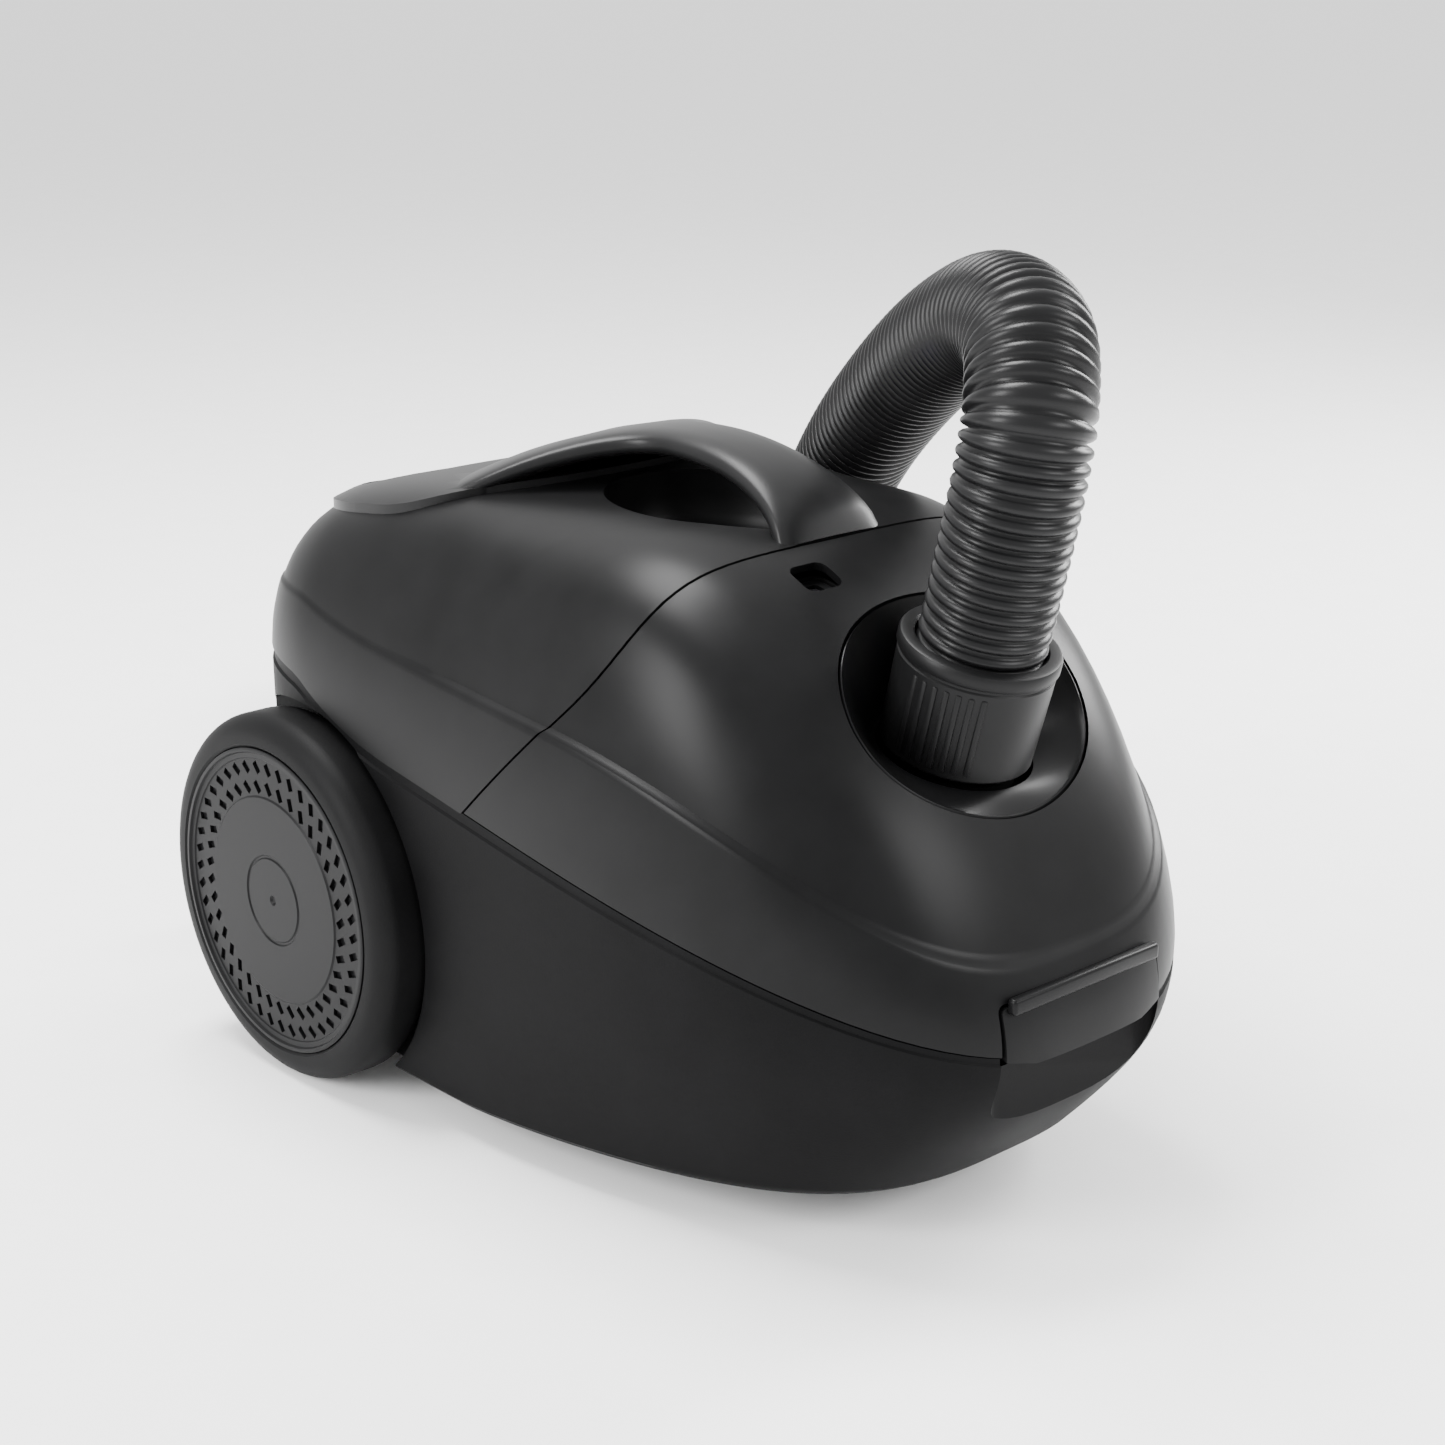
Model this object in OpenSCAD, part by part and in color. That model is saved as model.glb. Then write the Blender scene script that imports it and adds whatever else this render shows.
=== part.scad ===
// Canister vacuum cleaner with a hinged lid, two large rear wheels, a front
// caster, a bagged dust compartment and a ribbed suction hose.
// The nose points to -Y, the floor is at z = 0 and the body is symmetric in X.

/* [Body] */
// Length from the nose to the back of the rear wheels
overall_l = 386; // [360:1:440]
// Width of the moulded body
body_w = 228; // [200:1:260]
// Height of the body crown, without the handle
crown_h = 240; // [228:1:262]
// Thickness of the moulded walls
wall = 3; // [2:0.5:4]
// Height of the seam above the floor at the nose
seam_front = 78; // [72:1:84]
// How much the seam climbs from the nose to the tail
seam_rise = 82; // [76:1:88]
// Gap under the back of the lower casing
floor_gap = 13; // [11:1:18]
// How much higher the underside is at the nose
nose_lift = 19; // [14:1:22]
// Gap between the lid and the casing below it
lid_lift = 1.8; // [1.6:0.1:3]
// Gap between the lid and the rear cover
lid_gap = 3; // [2.4:0.1:4]

/* [Handle] */
// Height of the top of the handle
handle_h = 263; // [258:1:276]
// Width of the handle strap
handle_w = 34; // [26:1:40]
// Thickness of the handle strap
handle_t = 9; // [7:0.5:11]

/* [Wheels] */
// Diameter of the rear wheels
wheel_d = 150; // [135:1:160]
// Width of the rear wheels
wheel_w = 28; // [22:1:32]
// How far the wheels stand out of the body
wheel_out = 16; // [12:1:20]
// Diameter of the wheel stub axles
axle_d = 10; // [8:0.5:14]
// Diameter of the caster wheel
caster_d = 22; // [18:1:23]

/* [Suction] */
// Outside diameter of the hose over its ribs
hose_d = 46; // [40:1:50]
// Bore of the hose
hose_bore = 38; // [30:1:40]
// Bore through the cuff
cuff_bore = 34; // [30:1:35]
// Outside diameter of the cuff
cuff_d = 58; // [54:1:62]
// Bore of the inlet tube that the cuff plugs into
inlet_bore = 40; // [36:0.5:44]
// Diameter of the wand tube that fits the grip
wand_d = 32; // [30:0.5:36]
// Running clearance on a radius, for turning parts
run_gap = 0.05; // [0.02:0.01:0.1]

/* [Drive] */
// Diameter of the motor
motor_d = 100; // [90:1:106]
// Length of the motor
motor_l = 104; // [90:1:108]
// Diameter of the motor shaft
shaft_d = 8; // [6:0.5:10]
// Diameter of the cable reel
reel_d = 96; // [80:1:104]
// Travel of the push buttons
button_travel = 3; // [2:0.5:4]

/* [Hidden] */

black = "#1c1d1f";
satin = "#26272a";
dark = "#141415";
rubber = "#0f0f10";

nose_y = -overall_l / 2;
tail_y = overall_l / 2 - 19;
half_w = body_w / 2;
wheel_r = wheel_d / 2;
wheel_y = overall_l / 2 - wheel_r;
wheel_x = half_w + wheel_out - wheel_w;
wide_y = 30;
nose_square = 2.9;
tail_square = 5;
nose_turn = -30;
tail_turn = 60;
nose_fall = 0.004;
tail_fall = 0.0009;
seam_kick = 12;
crown_pull = 40;
around = 64;
dome_steps = 14;
case_steps = 6;

// ---- Body surface -------------------------------------------------------

function clamp(v, a, b) = min(max(v, a), b);
function share(y) = clamp((y - nose_y) / (tail_y - nose_y), 0, 1);
function seam_z(y) = seam_front + seam_rise * pow(share(y), 0.6)
    + seam_kick * pow(clamp((y - 58) / 62, 0, 1), 2);
function top_z(y) = crown_h - nose_fall * pow(max(0, nose_turn - y), 2)
    - tail_fall * pow(max(0, y - tail_turn), 2);
function under_z(y) = floor_gap + nose_lift * clamp((20 - y) / 190, 0, 1)
    + 0.0006 * pow(max(0, y - 60), 2);

// Distance from the middle to the outline, in direction a
function reach(a, wx, wy, n) = pow(pow(abs(cos(a)) / wx, n) + pow(abs(sin(a)) / wy, n), -1 / n);
function outline(a, k, yc, in) =
    let (front = sin(a) < 0,
        long = front ? yc - nose_y - in : tail_y - in - yc,
        r = k * reach(a, half_w - in, long, front ? nose_square : tail_square))
    [r * cos(a), yc + r * sin(a)];
function dome_k(t, a) = pow(cos(90 * t), 0.36 - 0.12 * max(0, sin(a)));
function dome_pt(t, a, in, lift) =
    let (p = outline(a, dome_k(t, a), wide_y - crown_pull * t, in),
        base = seam_z(p[1]) + lift)
    [p[0], p[1], base + (top_z(p[1]) - in - base) * sin(90 * t)];
function case_k(t, a) = 1 - 0.03 * t * t - 0.14 * pow(max(0, -sin(a)), 2) * t * t;
function case_pt(t, a, in, lift) =
    let (p = outline(a, case_k(t, a), wide_y, in),
        low = under_z(p[1]) + in + 3,
        high = seam_z(p[1]) + lift)
    [p[0], p[1], high + (low - high) * t];
function base_pt(k, a, in) =
    let (p = outline(a, case_k(1, a) * k, wide_y, in))
    [p[0], p[1], under_z(p[1]) + in];

function ring_faces(i, n) = [for (j = [0:n - 1])
    each [[i * n + j, i * n + (j + 1) % n, (i + 1) * n + (j + 1) % n],
        [i * n + j, (i + 1) * n + (j + 1) % n, (i + 1) * n + j]]];

// Closed skin over a list of rings, with a middle point at each end
module skin(rings, first, last) {
    n = len(rings[0]);
    m = len(rings);
    points = concat([for (r = rings) each r], [first, last]);
    polyhedron(points, concat(
        [for (i = [0:m - 2]) each ring_faces(i, n)],
        [for (j = [0:n - 1]) [n * m, (j + 1) % n, j]],
        [for (j = [0:n - 1]) [n * m + 1, (m - 1) * n + j, (m - 1) * n + (j + 1) % n]]),
        convexity = 8);
}

function turn(i) = -360 * i / around;

module dome_solid(in = 0, lift = 0) {
    skin([for (s = [0:dome_steps - 1]) [for (i = [0:around - 1])
            dome_pt(0.985 * s / (dome_steps - 1), turn(i), in, lift)]],
        [0, wide_y, seam_z(wide_y) + lift],
        [0, wide_y - crown_pull, top_z(wide_y - crown_pull) - in]);
}

module case_solid(in = 0, lift = 0) {
    skin(concat(
            [for (k = [0.4, 0.8, 0.965]) [for (i = [0:around - 1]) base_pt(k, turn(i), in)]],
            [for (s = [0:case_steps]) [for (i = [0:around - 1])
                case_pt(1 - s / case_steps, turn(i), in, lift)]]),
        [0, wide_y, under_z(wide_y) + in],
        [0, wide_y, seam_z(wide_y) + lift]);
}

// Box with round edges along Z
module pad(size, r) {
    hull()
        for (x = [-1, 1], y = [-1, 1])
            translate([x * (size[0] / 2 - r), y * (size[1] / 2 - r), 0])
                cylinder(r = r, h = size[2], $fn = 24);
}

// Ball-cornered box
module pebble(size, r) {
    hull()
        for (x = [-1, 1], y = [-1, 1], z = [-1, 1])
            translate([x * (size[0] / 2 - r), y * (size[1] / 2 - r), z * (size[2] / 2 - r)])
                sphere(r = r, $fn = 12);
}

module bar_x(r, h, n = 48) {
    rotate([0, 90, 0])
        cylinder(r = r, h = h, center = true, $fn = n);
}

module bar_y(r, h, n = 64) {
    rotate([-90, 0, 0])
        cylinder(r = r, h = h, $fn = n);
}

// ---- Lid seam and hinge -------------------------------------------------

seam_low_y = 12;
seam_low_z = 135;
seam_top_y = -68;
seam_top_z = crown_h - 27;
hinge_y = -30;
hinge_z = crown_h - 13;
arm_x = 62;
arm_w = 8;
neck_r = hinge_y - seam_top_y + 3;
hinge_pin_d = 4;
hub_r = 4.6;
arm_rise = top_z(hinge_y - neck_r - 7) - wall - hinge_z + 5.7;

// Reach from the hinge that clears the rim of the casing while the lid swings
swing_start = 15;
swing_r = min([for (y = [hinge_y:3:seam_low_y]) norm([y - hinge_y, seam_z(y) - hinge_z])]) - 0.6;

// Everything in front of the lid seam, moved back or forth by off
module front_of_seam(off = 0) {
    rotate([90, 0, -90])
        linear_extrude(height = 400, center = true)
            polygon([[-seam_low_y - off, 0], [-seam_low_y - off, seam_low_z],
                [-seam_top_y - off, seam_top_z], [-seam_top_y - off, 400],
                [400, 400], [400, 0]]);
}

// ---- Lower casing and rear cover ----------------------------------------

well_r = wheel_r + 5;
well_x = wheel_x - 2;
latch_w = 84;
latch_h = 34;

module at_wheels() {
    for (s = [-1, 1])
        translate([s * wheel_x, wheel_y, wheel_r])
            mirror([s < 0 ? 1 : 0, 0, 0])
                children();
}

module lower_casing() {
    color(black)
        difference() {
            union() {
                difference() {
                    case_solid();
                    case_solid(wall, 4);
                }
                intersection() {
                    case_solid();
                    at_wheels()
                        translate([-5, 0, 0])
                            rotate([0, 90, 0])
                                cylinder(r = well_r + wall, h = 60, $fn = 64);
                }
                for (x = [-60, 60])
                    translate([x, 90, floor_gap + 1])
                        pad([10, 60, 3.4], 2);
                intersection() {
                    case_solid();
                    translate([0, nose_y + 20, seam_front - 24])
                        pebble([latch_w + 8, 40, 42], 6);
                }
            }
            at_wheels()
                translate([-2, 0, 0])
                    rotate([0, 90, 0])
                        cylinder(r = well_r, h = 70, $fn = 64);
            at_wheels()
                translate([-20, 0, 0])
                    rotate([0, 90, 0])
                        cylinder(d = axle_d + 8, h = 30, $fn = 32);
            // Finger recess under the latch
            translate([0, nose_y, seam_front - 14])
                pebble([latch_w, 22, 34], 8);
            // Space behind the recess for the latch hook
            translate([-18, nose_y + 2, seam_front - 13])
                cube([36, 40, 37]);
            // Room for the latch above the recess
            translate([-latch_w / 2 - 0.6, nose_y - 6, seam_front - 2])
                cube([latch_w + 1.2, 22, 30]);
            // Caster socket opening
            translate([0, caster_y, 0])
                cylinder(d = 33, h = 46, $fn = 48);
            // Cooling slots in the underside
            for (x = [-40:16:40])
                translate([x, 60, floor_gap - 2])
                    pad([5, 60, 10], 2);
            // Screw holes
            for (x = [-60, 60], y = [-60, 60])
                translate([x, y, under_z(y) - 3]) {
                    cylinder(d = 3.6, h = 20, $fn = 24);
                    cylinder(d = 8, h = 3.1, $fn = 24);
                }
            // Exhaust and cord outlets
            translate([0, tail_y, exhaust_z])
                cube([exhaust_w, 30, exhaust_h], center = true);
            translate([cord_x, tail_y - 15, cord_z])
                bar_y(9.4, 30, 32);
        }
}

caster_y = nose_y + 66;
exhaust_z = 142;
exhaust_w = 110;
exhaust_h = 26;
cord_x = 62;
cord_z = 70;
window_y = 124;
window_pitch = 6;
window_wx = 72;
window_wy = 28;
dish_y = -6;
dish_wx = 42;
dish_wy = 50;
dish_z = crown_h - 24;

// Frame of the sloping oval window at the back of the crown
module at_window() {
    translate([0, window_y, top_z(window_y) - 1])
        rotate([-window_pitch, 0, 0])
            children();
}

module oval(wx, wy, h, n = 64) {
    linear_extrude(height = h)
        polygon([for (i = [0:n - 1]) [wx * cos(360 * i / n), wy * sin(360 * i / n)]]);
}

module rear_cover() {
    color(black)
        difference() {
            union() {
                difference() {
                    dome_solid();
                    dome_solid(wall, -4);
                }
                // Floor and wall of the hand recess
                intersection() {
                    dome_solid();
                    translate([0, dish_y, dish_z - wall])
                        oval(dish_wx + wall, dish_wy + wall, 60);
                }
                for (x = [-1, 1])
                    hull() {
                        translate([x * 70, 60, top_z(60) - 22])
                            cylinder(d = 5, h = 19, $fn = 16);
                        translate([x * 70, 100, top_z(100) - 22])
                            cylinder(d = 5, h = 17, $fn = 16);
                    }
            }
            front_of_seam(lid_gap);
            // Hand recess, a rounded bowl under the handle
            hull() {
                translate([0, dish_y, dish_z])
                    oval(dish_wx - 5, dish_wy - 5, 1);
                translate([0, dish_y, dish_z + 5])
                    oval(dish_wx, dish_wy, 60);
            }
            // Openings for the two buttons
            for (y = [power_y, rewind_y])
                translate([0, y, dish_z - 20])
                    pad([button_w + 0.8, button_l + 0.8, 40], 6);
            at_window()
                translate([0, 0, -30])
                    oval(window_wx, window_wy, 60);
            // Grip flutes along the back
            for (x = [-30:12:30])
                hull() {
                    translate([x, tail_y + 1.2, seam_z(tail_y) + 8])
                        sphere(d = 3, $fn = 12);
                    translate([x, tail_y + 1.2, seam_z(tail_y) + 20])
                        sphere(d = 3, $fn = 12);
                }
        }
}

power_y = -20;
rewind_y = 16;
button_w = 40;
button_l = 30;

// ---- Handle -------------------------------------------------------------

handle_front = -62;
handle_rear = 98;
handle_steps = 20;
foot_flare = 46;
foot_rise = 2.4;
foot_rim = 14;

function handle_y(u) = handle_front + (handle_rear - handle_front) * u;
function handle_top(u) = let (foot = crown_h - 6)
    foot + (handle_h - foot) * pow(sin(180 * pow(u, 0.8)), 0.62);
function handle_half(u) = handle_w / 2 * (1 + 0.3 * pow(1 - u, 6))
    + foot_flare * pow(max(0, u - 0.6) / 0.4, 2);
function strap_ring(u) =
    let (y = handle_y(u), z = handle_top(u),
        e = 0.01,
        a = atan2(handle_top(min(1, u + e)) - handle_top(max(0, u - e)),
            handle_y(min(1, u + e)) - handle_y(max(0, u - e))),
        w = handle_half(u))
    [for (i = [0:15]) let (c = 22.5 * i,
        x = w * sign(cos(c)) * pow(abs(cos(c)), 0.5),
        d = handle_t / 2 * sign(sin(c)) * pow(abs(sin(c)), 0.6))
        [x, y - d * sin(a), z - handle_t / 2 + d * cos(a)]];

module carry_handle() {
    rings = [for (s = [0:handle_steps]) strap_ring(0.03 + 0.94 * s / handle_steps)];
    color(satin)
        difference() {
            union() {
                skin(rings, mean(rings[0]), mean(rings[handle_steps]));
                // Ring of the rear foot round the window
                intersection() {
                    dome_solid(-foot_rise);
                    at_window()
                        difference() {
                            translate([0, 0, -30])
                                oval(window_wx + foot_rim, window_wy + foot_rim - 2, 60);
                            translate([0, 0, -40])
                                oval(window_wx + 0.5, window_wy + 0.5, 80);
                        }
                }
                // Finger ribs under the strap
                for (i = [0:8])
                    translate([0, handle_y(0.3 + 0.04 * i), handle_top(0.3 + 0.04 * i) - handle_t])
                        hull()
                            for (x = [-1, 1])
                                translate([x * handle_w / 4, 0, 0.4])
                                    sphere(r = 1.4, $fn = 12);
            }
            intersection() {
                dome_solid(-0.1);
                translate([0, dish_y, dish_z - 20])
                    difference() {
                        cube([300, 500, 200], center = true);
                        oval(dish_wx, dish_wy, 60);
                    }
            }
        }
}

function mean(ps) = [for (k = [0:2]) sum([for (p = ps) p[k]]) / len(ps)];
function sum(v, i = 0) = i < len(v) ? v[i] + sum(v, i + 1) : 0;

// ---- Window and hand recess ---------------------------------------------

module window_lens() {
    color("#50545a")
        at_window()
            translate([0, 0, -4.5])
                oval(window_wx - 0.4, window_wy - 0.4, 2.5);
}

module window_bezel() {
    color(satin)
        at_window()
            difference() {
                translate([0, 0, -7])
                    oval(window_wx - 0.2, window_wy - 0.2, 2.4);
                translate([0, 0, -8])
                    oval(window_wx - 5, window_wy - 5, 4);
            }
}

// ---- Lid ----------------------------------------------------------------

inlet_y = nose_y + 67;
inlet_z = 171;
inlet_tilt = 15;
bowl_wx = 55;
bowl_wy = 38;
bowl_top = 60;
tube_wall = 3;
indicator_x = -27;
indicator_y = -82;
indicator_w = 17;

module at_inlet() {
    translate([0, inlet_y, inlet_z])
        rotate([inlet_tilt, 0, 0])
            children();
}

module at_indicator() {
    translate([indicator_x, indicator_y, top_z(indicator_y) - 4])
        rotate([11, 0, 0])
            children();
}

latch_y = nose_y + 1;
latch_pin_z = seam_front + latch_h - 8;

module lid_shell() {
    color(satin)
        difference() {
            union() {
                intersection() {
                    difference() {
                        dome_solid(0, lid_lift);
                        dome_solid(wall, -4);
                    }
                    front_of_seam(0);
                }
                // Cup of the fill indicator
                intersection() {
                    dome_solid(0, lid_lift);
                    at_indicator()
                        translate([0, 0, -8])
                            pad([indicator_w + 6, indicator_w + 6, 20], 5);
                }
            }
            // Groove round the flank
            for (x = [-1, 1], i = [0:5])
                hull()
                    for (k = [i, i + 1])
                        translate(groove_pt(x, k))
                            sphere(d = 5, $fn = 8);
            at_inlet()
                translate([0, 0, -20])
                    oval(bowl_wx + 0.4, bowl_wy + 0.4, 120);
            at_indicator()
                pad([indicator_w, indicator_w, 30], 4);
            at_indicator()
                translate([0, 0, -12])
                    pad([indicator_w - 5, indicator_w - 5, 30], 3);
            // Rear lower corner, relieved so that it swings past the casing
            translate([0, hinge_y, hinge_z])
                difference() {
                    translate([-half_w - 10, swing_start, -swing_r - 10])
                        cube([body_w + 20, 60, 30]);
                    bar_x(swing_r, body_w + 40, 128);
                }
            // Latch opening
            translate([0, nose_y, seam_front + latch_h / 2 - 6])
                pebble([latch_w, 32, latch_h + 10], 4);
        }
}

function groove_pt(x, i) =
    let (a = -5 - 11 * i, p = dome_pt(0.3, x > 0 ? a : 180 - a, -1.2, 0))
    [p[0], p[1], p[2]];

module lid_arms() {
    color(black)
        for (s = [-1, 1])
            translate([s * arm_x, hinge_y, hinge_z])
                rotate([90, 0, 90])
                    difference() {
                        union() {
                            cylinder(r = hub_r, h = arm_w, center = true, $fn = 32);
                            intersection() {
                                difference() {
                                    cylinder(r = neck_r + 5, h = arm_w, center = true, $fn = 96);
                                    cylinder(r = neck_r, h = arm_w + 1, center = true, $fn = 96);
                                }
                                linear_extrude(height = arm_w + 2, center = true)
                                    polygon([[0, 0], [-80, 0], [-80, -80], [-24, -80]]);
                            }
                            linear_extrude(height = arm_w, center = true)
                                polygon([[-4, -1], [4, -1], [-10, -neck_r - 1], [-17, -neck_r + 1]]);
                            translate([-neck_r - 7, -6, -arm_w / 2])
                                cube([7, arm_rise, arm_w]);
                        }
                        cylinder(d = hinge_pin_d + 2 * run_gap, h = arm_w + 2, center = true, $fn = 32);
                    }
}

module hinge_pins() {
    color("#8a8d90")
        for (s = [-1, 1])
            translate([s * arm_x, hinge_y, hinge_z])
                bar_x(hinge_pin_d / 2, arm_w + 9, 32);
}

module hinge_brackets() {
    ear = arm_w / 2 + 0.4;
    color(dark)
        for (s = [-1, 1], e = [-1, 1])
            translate([s * arm_x + e * (ear + 2), hinge_y, hinge_z])
                difference() {
                    union() {
                        bar_x(hub_r, 4, 32);
                        translate([-2, 0, -5])
                            cube([4, 20, 9]);
                    }
                    bar_x(hinge_pin_d / 2, 6, 32);
                }
}

module inlet_bowl() {
    color(satin)
        difference() {
            intersection() {
                dome_solid(0.3, lid_lift);
                at_inlet()
                    union() {
                        translate([0, 0, -12])
                            oval(bowl_wx, bowl_wy, bowl_top + 30);
                    }
            }
            at_inlet()
                hull() {
                    translate([0, 0, -6])
                        cylinder(r = cuff_d / 2 + 3, h = 1, $fn = 48);
                    translate([0, 2, 18])
                        oval(bowl_wx - 14, bowl_wy - 5, 1);
                    translate([0, 2, 52])
                        oval(bowl_wx - 3, bowl_wy - 2, 30);
                }
            at_inlet()
                translate([0, 0, -30])
                    cylinder(r = inlet_bore / 2 + tube_wall + 0.1, h = 60, $fn = 64);
            // Clip pockets round the outside of the bowl
            at_inlet()
                for (i = [0:7])
                    rotate([0, 0, 22.5 + 45 * i])
                        hull()
                            for (z = [-14, -10])
                                translate([cuff_d / 2 + 7, 0, z])
                                    sphere(d = 4, $fn = 8);
        }
}

module inlet_tube() {
    color(dark)
        at_inlet()
            difference() {
                union() {
                    translate([0, 0, -44])
                        cylinder(r = inlet_bore / 2 + tube_wall, h = 40, $fn = 96);
                    translate([0, 0, -16.2])
                        cylinder(r = inlet_bore / 2 + 9, h = 4, $fn = 96);
                }
                translate([0, 0, -50])
                    cylinder(r = inlet_bore / 2, h = 60, $fn = 96);
            }
}

module inlet_seal() {
    color(rubber)
        at_inlet()
            translate([0, 0, -47])
                difference() {
                    cylinder(r = inlet_bore / 2 + 6, h = 3, $fn = 96);
                    translate([0, 0, -1])
                        cylinder(r = inlet_bore / 2 - 2, h = 5, $fn = 96);
                }
}

function seal_ring(a) =
    [for (c = [[wall + 2.8, 3], [wall + 5.8, 3], [wall + 5.8, 7], [wall + 2.8, 7]])
        let (p = outline(a, dome_k(0, a), wide_y, c[0])) [p[0], p[1], seam_z(p[1]) + c[1]]];

module lid_seal() {
    rings = [for (a = [15:6:165]) seal_ring(-a)];
    color(rubber)
        skin(rings, mean(rings[0]), mean(rings[len(rings) - 1]));
}

module indicator_window() {
    color("#3a3d41")
        at_indicator()
            translate([0, 0, 0.02])
                pad([indicator_w - 0.4, indicator_w - 0.4, 1.5], 3.8);
}

module indicator_flag() {
    color("#6b2a22")
        at_indicator()
            translate([0, 0, -6])
                difference() {
                    union() {
                        translate([-5, -5, 0])
                            cube([10, 8, 2]);
                        bar_x(1.6, 11, 24);
                    }
                    bar_x(0.6, 14, 24);
                }
}

// ---- Latch --------------------------------------------------------------

module latch_lever() {
    color(black)
        difference() {
            union() {
                translate([-latch_w / 2 + 1, latch_y - 1, seam_front + 1.5])
                    cube([latch_w - 2, 4, latch_h - 6]);
                translate([-latch_w / 2 + 3, latch_y + 3, latch_pin_z])
                    bar_x_from(4, latch_w - 6);
                translate([-14, latch_y + 2, seam_front + 2])
                    cube([28, 12, 4]);
                translate([-14, latch_y + 10, seam_front - 6])
                    cube([28, 4, 12]);
                translate([-14, latch_y + 10, seam_front - 6])
                    cube([28, 9, 3]);
            }
            translate([-latch_w / 2, latch_y + 3, latch_pin_z])
                bar_x_from(2 + run_gap, latch_w);
        }
}

module bar_x_from(r, h) {
    rotate([0, 90, 0])
        cylinder(r = r, h = h, $fn = 48);
}

module latch_pin() {
    color("#8a8d90")
        translate([-latch_w / 2 - 4, latch_y + 3, latch_pin_z])
            bar_x_from(2, latch_w + 8);
}

module latch_spring() {
    color("#9a9da0")
        for (x = [-26, 26])
            translate([x, latch_y + 3, latch_pin_z + 6])
                rotate([0, 90, 0])
                    rotate_extrude($fn = 32)
                        translate([1, 0])
                            square([0.8, 8]);
}

// ---- Wheels and caster --------------------------------------------------

rim_r = wheel_r - 12;
cap_r = wheel_r * 0.83;
bush_r = axle_d / 2 + run_gap;

module wheel_rim() {
    color(black)
        rotate([0, 90, 0])
            rotate_extrude($fn = 96)
                polygon([[bush_r, 2], [bush_r + 4, 2], [bush_r + 4, 8], [rim_r - 3, 8], [rim_r - 3, 4],
                    [rim_r, 4], [rim_r, wheel_w - 4], [rim_r - 3, wheel_w - 4], [rim_r - 3, 12],
                    [bush_r + 4, 12], [bush_r + 4, 19], [bush_r, 19]]);
}

module tyre() {
    r = wheel_r;
    color(rubber)
        rotate([0, 90, 0])
            rotate_extrude($fn = 96)
                polygon(concat(
                    [[rim_r, 1.5], [rim_r, wheel_w - 1.5], [cap_r + 0.5, wheel_w - 0.5]],
                    [for (t = [90:-15:0]) [r - 9 + 9 * cos(t), wheel_w - 9 + 9 * sin(t)]],
                    [for (t = [0:-15:-90]) [r - 9 + 9 * cos(t), 9 + 9 * sin(t)]]));
}

slot_rings = [[0.69, 0.76, 36], [0.58, 0.655, 30]];

module wheel_cap() {
    color(satin)
        difference() {
            rotate([0, 90, 0])
                rotate_extrude($fn = 96)
                    polygon([[0, wheel_w - 4], [rim_r - 3.4, wheel_w - 4], [rim_r - 3.4, wheel_w - 3],
                        [cap_r, wheel_w - 1.2], [cap_r, wheel_w], [cap_r - 2, wheel_w],
                        [cap_r - 3, wheel_w - 1], [wheel_r * 0.25, wheel_w - 1],
                        [wheel_r * 0.24, wheel_w - 1.6], [wheel_r * 0.23, wheel_w - 1],
                        [0, wheel_w - 1]]);
            for (g = slot_rings, i = [0:g[2] - 1])
                rotate([360 * i / g[2], 0, 0])
                    translate([wheel_w - 2.4, -1.6, wheel_r * g[0]])
                        cube([4, 3.2, wheel_r * (g[1] - g[0])]);
        }
}

module on_side(s) {
    translate([s * wheel_x, wheel_y, wheel_r])
        mirror([s < 0 ? 1 : 0, 0, 0])
            children();
}

module wheel_rim_left() { on_side(-1) wheel_rim(); }
module wheel_rim_right() { on_side(1) wheel_rim(); }
module tyre_left() { on_side(-1) tyre(); }
module tyre_right() { on_side(1) tyre(); }
module wheel_cap_left() { on_side(-1) wheel_cap(); }
module wheel_cap_right() { on_side(1) wheel_cap(); }

module stub_axles() {
    color("#8a8d90")
        for (s = [-1, 1])
            on_side(s)
                rotate([0, 90, 0]) {
                    translate([0, 0, -12])
                        cylinder(d = axle_d, h = 32, $fn = 64);
                    translate([0, 0, 19.4])
                        cylinder(d = axle_d + 4, h = 2, $fn = 64);
                    translate([0, 0, -12])
                        cylinder(d = axle_d + 14, h = 6, $fn = 64);
                    translate([0, 0, -6])
                        cylinder(d = axle_d + 7, h = 7, $fn = 64);
                }
}

caster_r = caster_d / 2;
caster_trail = 9;
stem_r = 4;

module caster_socket() {
    color(dark)
        translate([0, caster_y, 0])
            difference() {
                translate([0, 0, under_z(caster_y) - 1])
                    cylinder(r = 15.7, h = 14, $fn = 64);
                translate([0, 0, under_z(caster_y) - 4])
                    cylinder(r = stem_r + run_gap, h = 15, $fn = 48);
            }
}

module caster_fork() {
    top = under_z(caster_y) - 1.4;
    color(black)
        translate([0, caster_y, 0]) {
            difference() {
                union() {
                    translate([0, 0, top - 4])
                        cylinder(r = 14, h = 4, $fn = 64);
                    translate([0, 0, top - 1])
                        cylinder(r = stem_r, h = 12, $fn = 48);
                    for (s = [-1, 1])
                        translate([s * 9, 0, 0]) {
                            translate([-1.5, -2, caster_r])
                                cube([3, caster_trail + 2, top - 3 - caster_r]);
                            translate([0, caster_trail, caster_r])
                                bar_x(6, 3, 32);
                        }
                }
                translate([0, caster_trail, caster_r])
                    bar_x(2, 40, 32);
            }
        }
}

module caster_wheel() {
    color(rubber)
        translate([0, caster_y + caster_trail, caster_r])
            rotate([0, 90, 0])
                rotate_extrude($fn = 64)
                    polygon([[2 + run_gap, -6], [caster_r - 2, -6], [caster_r, -4],
                        [caster_r, 4], [caster_r - 2, 6], [2 + run_gap, 6]]);
}

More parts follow.
